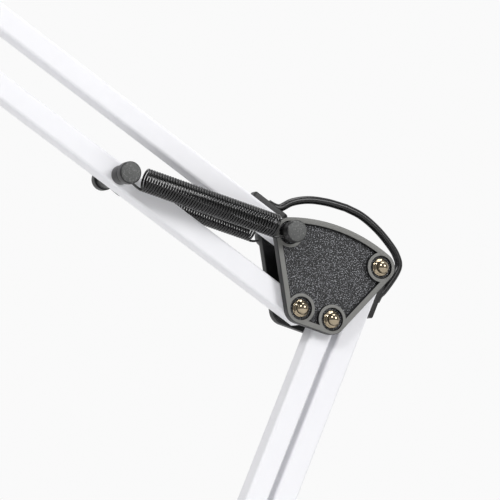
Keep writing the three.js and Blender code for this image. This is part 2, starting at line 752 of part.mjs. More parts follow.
/** The forked bracket at the foot of the lower arm. */
function bracketSolid() {
  const footHeight = BRACKET_FOOT + BRACKET_FOOT_RADIUS;
  const discs = [
    [[BRACKET_FOOT_TO, footHeight], BRACKET_FOOT_RADIUS],
    [B1, BOSS + 1],
    [B2, BOSS + 1],
    [[BRACKET_FOOT_FROM, footHeight], BRACKET_FOOT_RADIUS],
  ];
  const cheeks = [-1, 1].map((side) => {
    const span = side < 0 ? [-PLATE_OUTER, -PLATE_INNER] : [PLATE_INNER, PLATE_OUTER];
    return slab(outline(discs), ...span);
  });
  const web = box(
    [BRACKET_FOOT_FROM, -PLATE_OUTER, BRACKET_FOOT],
    [BRACKET_FOOT_TO, PLATE_OUTER, BRACKET_FOOT + BRACKET_WEB],
  );
  const pads = [B1, B2].flatMap((place) => [-1, 1].map((side) => {
    const span = [BAR / 2 + GAP, PLATE_INNER + 1].map((value) => value * side).sort((a, b) => a - b);
    return turnedAlongY(rod(BOSS - 1.5, ...span), place);
  }));
  const seats = [B1, B2].flatMap((place) => [-1, 1].map((side) => {
    const span = [SEAT, PLATE_REACH].map((value) => value * side).sort((a, b) => a - b);
    return turnedAlongY(rod(COUNTERBORE, ...span), place, 24);
  }));
  const spigotHole = turnedAlongZ(rod(SPIGOT + GAP, BRACKET_FOOT - 1, BRACKET_FOOT + SPIGOT_SEAT), 20);
  const cordHole = turnedAlongZ(rod(SPIGOT_BORE, BRACKET_FOOT, BRACKET_FOOT + BRACKET_WEB + 1), 12);
  const cuts = [...seats, pivotHole(B1, PIN), pivotHole(B2, BOLT), spigotHole, cordHole];
  return carve(cheeks[0], cuts, [cheeks[1], web, ...pads]);
}

/** The base: everything that stands still on the table. */
function baseParts() {
  const pad = [[0, 0], [PAD_RADIUS - 1, 0], [PAD_RADIUS, 1], [PAD_RADIUS, PAD_HEIGHT], [0, PAD_HEIGHT]];
  return [
    piece('base_foot_pad', turnedAlongZ(pad, 36), rubber),
    piece('base_weight', weightSolid(), castIron),
    piece('base_cover', coverSolid(), whitePaint),
    piece('base_socket', socketSolid(), blackPlastic),
    piece('base_socket_nut', socketNutSolid(), steel),
    piece('spigot_bush', bushSolid(), nylon),
    piece('cord_gland', glandSolid(), blackPlastic),
  ];
}

/** The bracket with its spigot, bolt and spring pin. */
function bracketParts() {
  const spigotEnd = TURRET_TOP - SPIGOT_DEPTH;
  const spigotTop = BRACKET_FOOT + SPIGOT_SEAT - 0.5;
  const spigot = turnedAlongZ(tube(SPIGOT_BORE, SPIGOT, spigotEnd, spigotTop), 20);
  return [
    piece('lower_bracket', bracketSolid(), blackPlastic),
    piece('bracket_spigot', spigot, steel),
    piece('bracket_pivot_bolt', boltSolid(B2), steel),
    piece('bracket_pivot_nut', capNutSolid(B2), nickel),
    piece('bracket_spring_pin', springPin(B1, SEAT + GAP), blackSteel),
  ];
}

// ---------------------------------------------------------------------------------------------
// Elbow
// ---------------------------------------------------------------------------------------------

/** The elbow's two plates, three bolts with cap nuts, and the pin that holds the upper springs. */
function elbowParts() {
  const discs = [P3, P2, P1, P4].map((place) => [place, BOSS]);
  const shanks = [BOLT, BOLT, BOLT, PIN];
  const lastEdge = 2;
  const parts = [
    piece('elbow_plate_front', sidePlate(-1, discs, shanks, lastEdge, TOP_BULGE), blackPlastic),
    piece('elbow_plate_rear', sidePlate(1, discs, shanks, lastEdge, TOP_BULGE), blackPlastic),
    piece('elbow_spring_pin', springPin(P4, SEAT + GAP), blackSteel),
  ];
  const bolts = { corner: P3, inner: P2, outer: P1 };
  for (const [name, place] of Object.entries(bolts)) {
    parts.push(piece(`elbow_bolt_${name}`, boltSolid(place), steel));
    parts.push(piece(`elbow_nut_${name}`, capNutSolid(place), nickel));
  }
  return parts;
}

// ---------------------------------------------------------------------------------------------
// Head. Its own +X runs along the stem from the tilt pivot, and its own +Z along the shade's axis.
// ---------------------------------------------------------------------------------------------

/** The plates and bolts that join the upper arm to the tilting knuckle. */
function headBracketParts() {
  const discs = [[H3, BOSS], [H4, BOSS], [TILT, BOSS]];
  const shanks = [BOLT, BOLT, BOLT];
  return [
    piece('head_plate_front', sidePlate(-1, discs, shanks), blackPlastic),
    piece('head_plate_rear', sidePlate(1, discs, shanks), blackPlastic),
    piece('head_pivot_low', rivetedPivot(H3), nickel),
    piece('head_pivot_high', rivetedPivot(H4), nickel),
    piece('tilt_bolt', boltSolid(TILT, KNOB_THREAD), steel),
    piece('tilt_knob', tiltKnobSolid(), blackPlastic),
  ];
}

/** The lobed knob on the tilt bolt. */
function tiltKnobSolid() {
  const front = -(PLATE_OUTER + GAP);
  const points = [];
  for (let number = 0; number < 40; number += 1) {
    const turn = (number / 40) * 2 * Math.PI;
    const radius = KNOB_RADIUS + KNOB_LOBE_HEIGHT * Math.cos(KNOB_LOBES * turn);
    points.push(new THREE.Vector2(radius * Math.cos(turn), radius * Math.sin(turn)));
  }
  const starBack = front - KNOB_STANDOFF;
  const star = slab(new THREE.Shape(points), starBack - KNOB_LENGTH, starBack)
    .translate([TILT[0], 0, TILT[1]]);
  const hub = turnedAlongY(rod(KNOB_HUB, starBack - 1, front), TILT);
  const hole = turnedAlongY(rod(BOLT + RUNNING, starBack - 2, front + 1), TILT);
  return carve(star, [hole], [hub]);
}

/** The knuckle between the head plates, with the stem pin that the shade turns on. */
function knuckleSolid() {
  const half = BAR / 2;
  const lug = slab(outline([[[0, 0], BOSS], [[STEM_SHOULDER / 2, 0], STEM_SHOULDER_RADIUS]]), -half, half);
  const shoulder = turnedAlongX(rod(STEM_SHOULDER_RADIUS, BOSS, STEM_SHOULDER));
  const pin = turnedAlongX(rod(STEM_PIN, STEM_SHOULDER - 1, NECK_DISTANCE - NECK + 3));
  return carve(lug, [pivotHole([0, 0], BOLT)], [shoulder, pin]);
}

/** The neck housing, with its side boss, its switch hole and its ring of vents. */
function capSolid() {
  const top = NECK_HALF_HEIGHT;
  const inner = NECK - NECK_WALL;
  const switchHole = SWITCH_RADIUS + RUNNING;
  const shell = turnedAlongZ([
    [inner, -top],
    [NECK, -top],
    [NECK, top - 6],
    [NECK - 2, top - 2],
    [NECK - 6, top],
    [switchHole, top],
    [switchHole, top - NECK_WALL],
    [inner - 4.5, top - NECK_WALL],
    [inner - 1.5, top - 3.4],
    [inner, top - 7],
    [inner, -top],
  ], 24);
  const boss = turnedAlongX(rod(SIDE_BOSS, STEM_SHOULDER + GAP - NECK_DISTANCE, -inner - 0.6));
  const bore = turnedAlongX(rod(STEM_PIN + RUNNING, -NECK_DISTANCE, -inner + 4));
  const vents = [];
  for (let number = 0; number < VENTS; number += 1) {
    const slot = box([inner - 2, -VENT_WIDTH / 2, VENT_LOW], [NECK + 2, VENT_WIDTH / 2, VENT_HIGH]);
    vents.push(slot.rotate([0, 0, (number + 0.5) * (360 / VENTS)]));
  }
  return carve(shell, [bore, ...vents], [boss]);
}

/** The bell of the shade: a collar round the neck, a flared wall and a rolled rim. */
function shadeSolid() {
  const collar = NECK + GAP;
  const collarTop = -NECK_HALF_HEIGHT + SHADE_COLLAR;
  const rings = 7;
  const outer = [[collar + SHADE_WALL, collarTop]];
  for (let ring = 0; ring <= rings; ring += 1) {
    const share = ring / rings;
    const flare = 0.5 * share + 0.5 * Math.sin((share * Math.PI) / 2);
    outer.push([
      collar + SHADE_WALL + (SHADE_RADIUS - collar - SHADE_WALL) * flare,
      -NECK_HALF_HEIGHT - SHADE_DEPTH * share,
    ]);
  }
  const inner = outer.map(([radius, height]) => [radius - SHADE_WALL, height]).reverse();
  const rim = outer[outer.length - 1];
  const bead = [
    [rim[0] + RIM_BEAD, rim[1] + 0.6],
    [rim[0] + RIM_BEAD, rim[1] - 1.2],
    [rim[0] - SHADE_WALL, rim[1] - 1.2],
  ];
  return turnedAlongZ([...outer, ...bead, ...inner, outer[0]], 36);
}

/** The lamp holder inside the neck. */
function holderSolid() {
  const flange = NECK - NECK_WALL - GAP;
  return turnedAlongZ([
    [0, -8],
    [HOLDER_CUP, -8],
    [HOLDER_CUP, -NECK_HALF_HEIGHT - HOLDER_SKIRT],
    [HOLDER_RADIUS, -NECK_HALF_HEIGHT - HOLDER_SKIRT],
    [HOLDER_RADIUS, HOLDER_FLANGE],
    [flange, HOLDER_FLANGE],
    [flange, HOLDER_FLANGE + 2],
    [0, HOLDER_FLANGE + 2],
  ], 20);
}

/** The bulb's envelope and base as one open-topped shell. */
function bulbSolid() {
  const outer = [];
  for (let ring = 0; ring <= 8; ring += 1) {
    const turn = (ring / 8) * radians(140);
    outer.push([BULB_RADIUS * Math.sin(turn), BULB_CENTRE - BULB_RADIUS * Math.cos(turn)]);
  }
  outer.push([BULB_BASE + 1.5, -50], [BULB_BASE, -44], [BULB_BASE, BULB_TOP]);
  const inner = outer.slice(1).reverse().map(([radius, height]) => [radius - BULB_WALL, height]);
  return turnedAlongZ([...outer, ...inner, [0, outer[0][1] + BULB_WALL]], 16);
}

/** The push button on top of the neck. */
function switchSolid() {
  const top = NECK_HALF_HEIGHT;
  return turnedAlongZ([
    [0, top - 7],
    [SWITCH_RADIUS + SWITCH_COLLAR, top - 7],
    [SWITCH_RADIUS + SWITCH_COLLAR, top - 5.5],
    [SWITCH_RADIUS, top - 5.5],
    [SWITCH_RADIUS, top + SWITCH_HEIGHT - 3],
    [SWITCH_RADIUS - 1, top + SWITCH_HEIGHT - 2],
    [0, top + SWITCH_HEIGHT - 1.6],
  ], 16);
}

/** Everything that tilts with the knuckle. */
function headParts() {
  const neck = new THREE.Group();
  neck.position.x = NECK_DISTANCE;
  neck.rotation.x = Math.PI; // the stem points to -X, so the shade's axis is turned upright again
  neck.add(
    piece('shade_cap', capSolid(), blackPlastic),
    piece('shade', shadeSolid(), whitePaint),
    piece('lamp_holder', holderSolid(), ceramic),
    piece('bulb', bulbSolid(), opalGlass),
    piece('switch_button', switchSolid(), blackPlastic),
  );
  return placed(TILT, HEAD_ANGLE, [piece('head_knuckle', knuckleSolid(), blackPlastic), neck]);
}

// ---------------------------------------------------------------------------------------------
// Cords. The points of each route are chosen by hand; x and z are measured from a pivot.
// ---------------------------------------------------------------------------------------------

/** A point in the middle plane beside a bar: along it from a pivot, and out from its axis. */
function besideBar(pivot, angle, along, out) {
  return step(step(pivot, along, angle), out, angle - 90);
}

/** The cord's way out of the grommet at a pivot; towards is 1 or -1 along the bar. */
function wayOut(pivot, angle, towards) {
  const floor = BAR / 2 + GAP + GROMMET_FLOOR + GAP + CORD;
  const stations = [[CHANNEL_END - GAP, floor], [11, floor + 0.5], [8.2, floor + 1.8]];
  return stations.map(([along, out]) => besideBar(pivot, angle, towards * along, out));
}

/** A loop of cord in the middle plane. The free points are measured from a pivot. */
function cordLoop(name, first, [x, z], free, last, steps) {
  const route = [...first, ...free.map(([dx, dz]) => [x + dx, z + dz]), ...last];
  return piece(name, wire(route.map(([px, pz]) => [px, 0, pz]), CORD, steps), cordPvc);
}

/** The loops that carry the cord past the joints. */
function cordLoops() {
  const fromLowerFoot = wayOut(B1, LOWER_ANGLE, 1);
  const toLowerTop = wayOut(P1, LOWER_ANGLE, -1).reverse();
  const fromUpperFoot = wayOut(P4, UPPER_ANGLE, 1);
  const fromUpperHead = wayOut(H4, UPPER_ANGLE, -1);
  return [
    cordLoop('base_cord_loop', fromLowerFoot, B1, [
      [15.4, -4], [15.4, -13], [11.6, -21.5], [4, -27.5], [-6, -30.5], [-12.5, -34.5], [-14.4, -39.3],
    ], [], 16),
    cordLoop('elbow_cord_loop', fromUpperFoot, P3, [
      [-0.1, 56.4], [9.3, 58], [20.4, 57.1], [31.5, 54.5], [40, 50.8], [48.4, 44.7],
      [55.8, 37.2], [60.8, 30.2], [62.2, 24.1],
    ], toLowerTop, 28),
    cordLoop('head_cord_loop', fromUpperHead, TILT, [
      [33, 37], [22.5, 41.7], [11, 42.6], [1, 40.5], [-6, 33.5], [-8.2, 23.5], [-6.4, 14.5], [-4.4, 10.2],
    ], [], 18),
  ];
}

/** The mains lead on the table: its run, its coil, its tail and its plug. */
function mainsParts() {
  const glandEnd = BASE_RADIUS + 3 * GAP + GLAND_LENGTH;
  const lead = [
    [0, glandEnd, GLAND_HEIGHT],
    [0, glandEnd + 6, GLAND_HEIGHT - 0.7],
    [-0.3, glandEnd + 13, GLAND_HEIGHT - 3.2],
    [-0.9, glandEnd + 21, GLAND_HEIGHT - 6],
    [-1.2, 159.5, CORD + 0.1],
  ];
  const tail = [
    [-48.8, 207.4, 8.4],
    [-58, 207, 7.6],
    [-68, 205.6, PLUG_Z],
    [-77, 204.2, PLUG_Z],
    [PLUG_X + 0.5, PLUG_Y, PLUG_Z],
  ];
  const coil = turnedAlongZ([
    [COIL_INNER, COIL_EDGE],
    [COIL_INNER + COIL_EDGE, COIL_LIFT],
    [COIL_OUTER - COIL_EDGE, COIL_LIFT],
    [COIL_OUTER, COIL_EDGE],
    [COIL_OUTER, COIL_HEIGHT - COIL_EDGE],
    [COIL_OUTER - COIL_EDGE, COIL_HEIGHT],
    [COIL_INNER + COIL_EDGE, COIL_HEIGHT],
    [COIL_INNER, COIL_HEIGHT - COIL_EDGE],
    [COIL_INNER, COIL_EDGE],
  ], 28).translate([COIL_CENTRE_X, COIL_CENTRE_Y, 0]);
  return [
    piece('mains_lead', wire(lead, CORD, 10), cordPvc),
    piece('mains_coil', coil, cordPvc),
    piece('mains_tail', wire(tail, CORD, 8), cordPvc),
    piece('mains_plug', plugSolid(), blackPlastic),
  ];
}

/** A slim two-pin plug that lies on the table, pointing to -X. */
function plugSolid() {
  const body = turnedAlongX([
    [0, -PLUG_LENGTH],
    [9.6, -PLUG_LENGTH],
    [10, 2 - PLUG_LENGTH],
    [9.4, -24],
    [6.2, -12],
    [4.6, 0],
    [0, 0],
  ], 18).scale([1, PLUG_WIDER, PLUG_LOWER]);
  const tip = -PLUG_LENGTH - PLUG_PIN_LENGTH;
  const pins = [-PLUG_PIN_SPACING / 2, PLUG_PIN_SPACING / 2].map((y) => {
    const pin = turnedAlongX([
      [0, tip],
      [PLUG_PIN - 0.6, tip],
      [PLUG_PIN, tip + 1],
      [PLUG_PIN, 1 - PLUG_LENGTH],
      [0, 1 - PLUG_LENGTH],
    ], 8);
    return pin.translate([0, y, 0]);
  });
  return carve(body, [], pins).translate([PLUG_X, PLUG_Y, PLUG_Z]);
}

// ---------------------------------------------------------------------------------------------
// The lamp
// ---------------------------------------------------------------------------------------------

const lamp = new THREE.Group();
lamp.add(
  ...baseParts(),
  ...bracketParts(),
  placed(B2, LOWER_ANGLE, springBar('lower', 'left', LOWER_ARM, [BOLT, BOLT])),
  placed(B1, LOWER_ANGLE, cordBar('lower', 'right', LOWER_ARM, [PIN, BOLT])),
  springPair('lower', B1, step(B2, SPRING_REACH, LOWER_ANGLE)),
  ...elbowParts(),
  placed(P3, UPPER_ANGLE, springBar('upper', 'low', UPPER_ARM, [BOLT, BOLT])),
  placed(P4, UPPER_ANGLE, cordBar('upper', 'high', UPPER_ARM, [PIN, BOLT])),
  springPair('upper', P4, step(P3, SPRING_REACH, UPPER_ANGLE)),
  ...headBracketParts(),
  headParts(),
  ...cordLoops(),
  ...mainsParts(),
);

export default lamp;
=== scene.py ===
"""A swing arm desk lamp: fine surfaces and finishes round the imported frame.

Sizes are in millimetres and are turned to metres where a mesh is made. Pivots come from the
frame's joints. The arms fold in the XZ plane and the lamp's front faces -Y.
"""
import json
import logging
import math
from dataclasses import dataclass
from enum import Enum, IntEnum
from typing import Callable, Sequence

import bmesh
import bpy
import numpy as np
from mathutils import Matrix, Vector


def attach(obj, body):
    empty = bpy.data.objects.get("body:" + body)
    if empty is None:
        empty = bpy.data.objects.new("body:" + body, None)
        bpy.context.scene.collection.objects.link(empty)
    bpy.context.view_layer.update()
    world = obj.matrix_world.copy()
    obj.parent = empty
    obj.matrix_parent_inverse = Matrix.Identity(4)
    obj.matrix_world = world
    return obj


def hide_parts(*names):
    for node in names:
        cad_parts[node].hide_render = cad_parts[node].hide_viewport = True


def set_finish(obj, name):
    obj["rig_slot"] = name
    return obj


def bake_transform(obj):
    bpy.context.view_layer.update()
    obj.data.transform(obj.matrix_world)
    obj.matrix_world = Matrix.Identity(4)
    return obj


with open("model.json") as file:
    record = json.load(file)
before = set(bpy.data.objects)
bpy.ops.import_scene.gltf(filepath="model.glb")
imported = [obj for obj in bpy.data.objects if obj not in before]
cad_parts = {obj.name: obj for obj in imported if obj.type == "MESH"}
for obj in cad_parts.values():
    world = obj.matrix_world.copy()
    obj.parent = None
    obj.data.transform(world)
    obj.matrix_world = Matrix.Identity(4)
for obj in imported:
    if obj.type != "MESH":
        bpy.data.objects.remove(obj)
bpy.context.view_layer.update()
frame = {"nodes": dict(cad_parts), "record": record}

logging.basicConfig(level=logging.INFO, format="%(name)s: %(message)s")
LOG = logging.getLogger("lamp")

MM = 0.001
TURN = 2 * math.pi
# The most of an edge that the rounding of one of its corners takes up.
CORNER_SHARE = 0.45
# Points nearer than this, in metres, are welded.
WELD = 2e-6
# Edges that turn by more degrees than this stay sharp, unless a piece says otherwise.
CREASE = 32.0
Array = np.ndarray
Profile = Sequence[tuple[float, float]]


class Axis(IntEnum):
    """The axis that a turned shape's height runs along."""

    X = 0
    Y = 1
    Z = 2


class Side(Enum):
    """Which side of the arms' middle plane a mirrored piece is on."""

    FRONT = -1
    REAR = 1

    @property
    def label(self) -> str:
        """The word that ends the piece's name."""
        return self.name.lower()


# --- Surfaces ---


@dataclass(frozen=True)
class Surface:
    """Points in millimetres and the quads between them."""

    points: Array
    quads: Array

    def shifted(self, x: float, y: float, z: float) -> "Surface":
        """The surface moved by x, y and z."""
        return Surface(self.points + np.array([x, y, z]), self.quads)

    def __add__(self, other: "Surface") -> "Surface":
        """Both surfaces as one, not welded."""
        points = np.vstack([self.points, other.points])
        return Surface(points, np.vstack([self.quads, other.quads + len(self.points)]))


def loft(rings: Array, closed: bool = False) -> Surface:
    """Joins rings of points, each a closed loop, by quads.

    Point (v, u) is joined to its neighbours (v + 1, u) and (v, u + 1), where u wraps round.

    Args:
        rings: An array of shape (ring, point, 3).
        closed: Whether the last ring joins the first, as in a tube with a wall.

    Returns:
        The surface through the rings.
    """
    count, around = rings.shape[:2]
    v = np.arange(count if closed else count - 1)[:, None]
    u = np.arange(around)[None, :]
    following = (v + 1) % count
    after = (u + 1) % around
    here, there = v * around, following * around
    quads = np.stack([here + u, here + after, there + after, there + u], -1)
    return Surface(rings.reshape(-1, 3), quads.reshape(-1, 4))


def capped(rings: Array) -> Surface:
    """A loft closed at both ends by fans to the end rings' middles.

    Args:
        rings: An array of shape (ring, point, 3).

    Returns:
        The closed surface.
    """
    first = np.repeat(rings[:1].mean(axis=1, keepdims=True), rings.shape[1], axis=1)
    last = np.repeat(rings[-1:].mean(axis=1, keepdims=True), rings.shape[1], axis=1)
    return loft(np.concatenate([first, rings, last]))


def softened(profile: Profile, radius: float, steps: int = 4) -> Array:
    """Rounds a profile's inner corners.

    Each corner gives way to the quadratic curve that starts and ends at most the radius away
    along its two edges, and no more than the corner's share of either edge.

    Args:
        profile: The corners, in order.
        radius: The distance from a corner at which its rounding starts.
        steps: How many pieces the rounding has.

    Returns:
        The points of the softened profile.
    """
    corners = np.asarray(profile, float)
    back = corners[:-2] - corners[1:-1]
    ahead = corners[2:] - corners[1:-1]
    reach_back = np.linalg.norm(back, axis=1, keepdims=True)
    reach_ahead = np.linalg.norm(ahead, axis=1, keepdims=True)
    cut = np.minimum(radius, CORNER_SHARE * np.minimum(reach_back, reach_ahead))
    start = corners[1:-1] + back / reach_back * cut
    end = corners[1:-1] + ahead / reach_ahead * cut
    t = np.linspace(0, 1, steps + 1)[None, :, None]
    curve = (1 - t) ** 2 * start[:, None] + 2 * t * (1 - t) * corners[1:-1, None] + t**2 * end[:, None]
    return np.vstack([corners[:1], curve.reshape(-1, 2), corners[-1:]])


@dataclass(frozen=True)
class Place:
    """An origin and three axes, as columns, that a piece is drawn in."""

    origin: tuple[float, float, float]
    axes: tuple[tuple[float, ...], ...]

    @classmethod
    def along(cls, pivot: Sequence[float], angle: float) -> "Place":
        """A place at [x, z] whose own X is turned by degrees from +X towards +Z."""
        c, s = math.cos(math.radians(angle)), math.sin(math.radians(angle))
        return cls((pivot[0], 0.0, pivot[1]), ((c, 0, s), (0, 1, 0), (-s, 0, c)))

    def out(self, local: Array) -> Array:
        """Local points in the lamp's frame: the origin plus each coordinate times its axis."""
        return np.asarray(self.origin) + local @ np.asarray(self.axes, float)

    def move(self, surface: Surface) -> Surface:
        """The surface put in this place."""
        return Surface(self.out(surface.points), surface.quads)


def circles(profile: Array, sides: int, axis: Axis, scale: Callable | None = None) -> Array:
    """Rings of a turned shape: radius times (cosine, sine), with the height along an axis.

    Args:
        profile: Rows of radius and height.
        sides: Points round each ring.
        axis: The axis that the height runs along.
        scale: A function of angle and radius that gives the radius there.

    Returns:
        An array of shape (ring, point, 3).
    """
    turn = np.arange(sides) / sides * TURN
    radius = np.repeat(profile[:, :1], sides, axis=1)
    if scale is not None:
        radius = scale(turn[None, :], radius)
    across = [radius * np.cos(turn), radius * np.sin(turn)]
    height = np.repeat(profile[:, 1:], sides, axis=1)
    across.insert(axis, height)
    return np.stack(across, -1)


def turned(
    profile: Profile,
    axis: Axis,
    centre: Sequence[float] = (0, 0),
    sides: int = 64,
    soft: float = 0.3,
    closed: bool = False,
) -> Surface:
    """A turned solid from a profile that starts and ends on its axis, or closes on itself.

    Args:
        profile: Radius and height pairs.
        axis: The axis that the height runs along.
        centre: The two other coordinates of that axis.
        sides: Points round it.
        soft: How far from a corner its rounding starts.
        closed: Whether the profile is a loop, as a tube's wall is.

    Returns:
        The turned surface.
    """
    rings = circles(softened(profile, soft), sides, axis)
    if closed:
        rings = rings[:-1]
    surface = loft(rings, closed)
    return surface.shifted(*np.insert(np.asarray(centre, float), axis, 0.0))


def rod(radius: float, low: float, high: float) -> Profile:
    """The profile of a plain rod."""
    return [(0, low), (radius, low), (radius, high), (0, high)]


def smooth_path(points: Sequence[Sequence[float]], step: float) -> Array:
    """One smooth curve through points.

    It is a cubic Hermite curve in a parameter that grows with the root of each chord, as a
    centripetal Catmull-Rom curve does, with slopes by central differences.

    Args:
        points: The points to pass through.
        step: The distance between the points that come back.

    Returns:
        Points along the curve.
    """
    knots = np.asarray(points, float)
    chord = np.linalg.norm(np.diff(knots, axis=0), axis=1)
    at = np.concatenate([[0], np.cumsum(np.sqrt(chord))])
    slope = np.gradient(knots, at, axis=0)
    t = np.linspace(0, at[-1], max(8, int(chord.sum() / step)))
    i = np.clip(np.searchsorted(at, t, side="right") - 1, 0, len(at) - 2)
    span = (at[i + 1] - at[i])[:, None]
    s = (t - at[i])[:, None] / span
    return (
        (2 * s**3 - 3 * s**2 + 1) * knots[i]
        + (s**3 - 2 * s**2 + s) * span * slope[i]
        + (3 * s**2 - 2 * s**3) * knots[i + 1]
        + (s**3 - s**2) * span * slope[i + 1]
    )


def length_of(path: Array) -> float:
    """The length of a path: the sum of the distances between its points."""
    return float(np.linalg.norm(np.diff(path, axis=0), axis=1).sum())


def swept(path: Array, radius: float, across: Sequence[float], sides: int = 12) -> Surface:
    """A round section carried along a path.

    At each point the section's first axis is the across direction with its part along the
    path taken away, and its second is square to both.

    Args:
        path: The centre line.
        radius: The section's radius.
        across: A direction that the path never runs along.
        sides: Points round the section.

    Returns:
        The tube, with closed ends.
    """
    tangent = np.gradient(path, axis=0)
    tangent /= np.linalg.norm(tangent, axis=1, keepdims=True)
    first = np.asarray(across, float) - (tangent @ np.asarray(across, float))[:, None] * tangent
    first /= np.linalg.norm(first, axis=1, keepdims=True)
    second = np.cross(tangent, first)
    turn = np.arange(sides) / sides * TURN
    spoke = np.cos(turn)[None, :, None] * first[:, None] + np.sin(turn)[None, :, None] * second[:, None]
    return capped(path[:, None] + radius * spoke)


# --- Flat outlines round discs ---


@dataclass(frozen=True)
class Outline:
    """The line round discs, listed anticlockwise, with one edge that may bulge as a wide arc."""

    discs: tuple[tuple[tuple[float, float], float], ...]
    bulge_after: int = -1
    bulge: float = 0.0

    def _edge(self, number: int) -> tuple[float, float, Array | None]:
        """Where an edge leaves one disc and meets the next.

        A straight edge's normal is turned from its heading by the arc cosine of the difference
        of the radii over the distance. A bulging one is an arc about a centre behind it.

        Args:
            number: The disc that the edge starts from.

        Returns:
            The two angles, and the arc's centre or None.
        """
        (a, a_radius), (b, b_radius) = self.discs[number], self.discs[(number + 1) % len(self.discs)]
        step = np.subtract(b, a)
        distance = float(np.hypot(*step))
        heading = math.atan2(step[1], step[0])
        if number != self.bulge_after:
            angle = heading - math.acos((a_radius - b_radius) / distance)
            return angle, angle, None
        normal = heading - math.pi / 2
        spread = math.asin(distance / 2 / self.bulge)
        depth = math.sqrt(self.bulge**2 - distance**2 / 4)
        centre = (np.add(a, b) / 2) - depth * np.array([math.cos(normal), math.sin(normal)])
        return normal - spread, normal + spread, centre

    def ring(self, inset: float, fine: int = 28) -> Array:
        """Points on the line moved inwards: every disc's radius less the inset.

        Args:
            inset: How far the line moves in.
            fine: Points on each arc.

        Returns:
            Rows of x and z.
        """
        edges = [self._edge(number) for number in range(len(self.discs))]
        rows = []
        for number, (centre, radius) in enumerate(self.discs):
            start, end = edges[number - 1][1], edges[number][0]
            end += TURN * math.ceil((start - end) / TURN)
            t = np.linspace(start, end, fine)
            rows.append(np.asarray(centre) + (radius - inset) * np.stack([np.cos(t), np.sin(t)], -1))
            leave, meet, middle = edges[number]
            if middle is not None:
                t = np.linspace(leave, meet, 2 * fine)[1:-1]
                reach = self.bulge + radius - inset
                rows.append(middle + reach * np.stack([np.cos(t), np.sin(t)], -1))
        return np.vstack(rows)

    def slab(self, edge: Profile, soft: float = 0.5) -> Surface:
        """A solid closed by two flat faces.

        Args:
            edge: Pairs of inset and y that the solid's edge follows.
            soft: How far from a corner its rounding starts.

        Returns:
            The closed solid.
        """
        rows = softened(edge, soft)
        rings = []
        for inset, y in rows:
            flat = self.ring(inset)
            rings.append(np.stack([flat[:, 0], np.full(len(flat), y), flat[:, 1]], -1))
        return capped(np.stack(rings))


def facing(side: Side, profile: Profile) -> list[tuple[float, float]]:
    """The profile with its second number on the given side of the middle plane."""
    return [(first, second * side.value) for first, second in profile]


# --- Finishes ---


def linear(code: str) -> tuple[float, float, float, float]:
    """Turns an sRGB colour into linear light by the standard's curve.

    Args:
        code: A hash sign and six hexadecimal digits.

    Returns:
        Linear red, green, blue and an alpha of 1.
    """
    channels = [int(code[i:i + 2], 16) / 255 for i in (1, 3, 5)]
    r, g, b = (c / 12.92 if c <= 0.04045 else ((c + 0.055) / 1.055) ** 2.4 for c in channels)
    return r, g, b, 1.0


def node(tree: bpy.types.NodeTree, kind: str, settings: dict | None = None, links: dict | None = None):
    """Adds a shader node.

    Args:
        tree: The tree that it goes in.
        kind: The node's type, without its ShaderNode prefix.
        settings: Values by input name or number, or by property name.
        links: The output socket that feeds each input.

    Returns:
        The new node.
    """
    made = tree.nodes.new("ShaderNode" + kind)
    for name, value in (settings or {}).items():
        if isinstance(name, str) and hasattr(made, name):
            setattr(made, name, value)
        else:
            made.inputs[name].default_value = value
    for name, socket in (links or {}).items():
        tree.links.new(socket, made.inputs[name])
    return made


@dataclass(frozen=True)
class Finish:
    """A surface: a colour that varies a little, and a fine relief of a real size.

    grain is the relief's width and mottle the colour patches' width, in millimetres.
    """

    name: str
    slot: str
    light: str
    dark: str
    roughness: float
    metallic: float = 0.0
    grain: float = 1.0
    relief: float = 0.0
    mottle: float = 12.0
    coat: float = 0.0
    spread: float = 0.04

    def pattern(self, tree: bpy.types.NodeTree, place, size: float, detail: float = 3.0):
        """Noise whose features are about the given width in millimetres."""
        return node(tree, "TexNoise", {"Scale": 1 / (size * MM), "Detail": detail}, {"Vector": place})

    def colour(self, tree: bpy.types.NodeTree, base, place, coordinates):
        """The colour's socket; a plain finish keeps the mottled base."""
        return base

    def height(self, tree: bpy.types.NodeTree, place, coordinates):
        """The relief's height socket; a plain finish has one grain all over."""
        return self.pattern(tree, place, self.grain).outputs[0]

    def material(self) -> bpy.types.Material:
        """Makes the finish's node tree.

        Returns:
            The material, made once and used again.
        """
        known = bpy.data.materials.get(self.name)
        if known:
            return known
        made = bpy.data.materials.new(self.name)
        made.use_nodes = True
        tree = made.node_tree
        shader = tree.nodes["Principled BSDF"]
        coordinates = node(tree, "TexCoord")
        place = coordinates.outputs["Object"]
        patches = self.pattern(tree, place, self.mottle)
        colour = node(tree, "Mix", {"data_type": "RGBA"}, {0: patches.outputs[0]})
        colour.inputs[6].default_value = linear(self.dark)
        colour.inputs[7].default_value = linear(self.light)
        tree.links.new(self.colour(tree, colour.outputs[2], place, coordinates), shader.inputs["Base Color"])
        rough = node(tree, "MapRange", {}, {"Value": patches.outputs[0]})
        rough.inputs["To Min"].default_value = max(0.02, self.roughness - self.spread)
        rough.inputs["To Max"].default_value = min(1.0, self.roughness + self.spread)
        tree.links.new(rough.outputs["Result"], shader.inputs["Roughness"])
        shader.inputs["Metallic"].default_value = self.metallic
        shader.inputs["Coat Weight"].default_value = self.coat
        if self.relief:
            height = self.height(tree, place, coordinates)
            bump = node(tree, "Bump", {"Strength": 1.0, "Distance": self.relief * MM}, {"Height": height})
            tree.links.new(bump.outputs["Normal"], shader.inputs["Normal"])
        return made


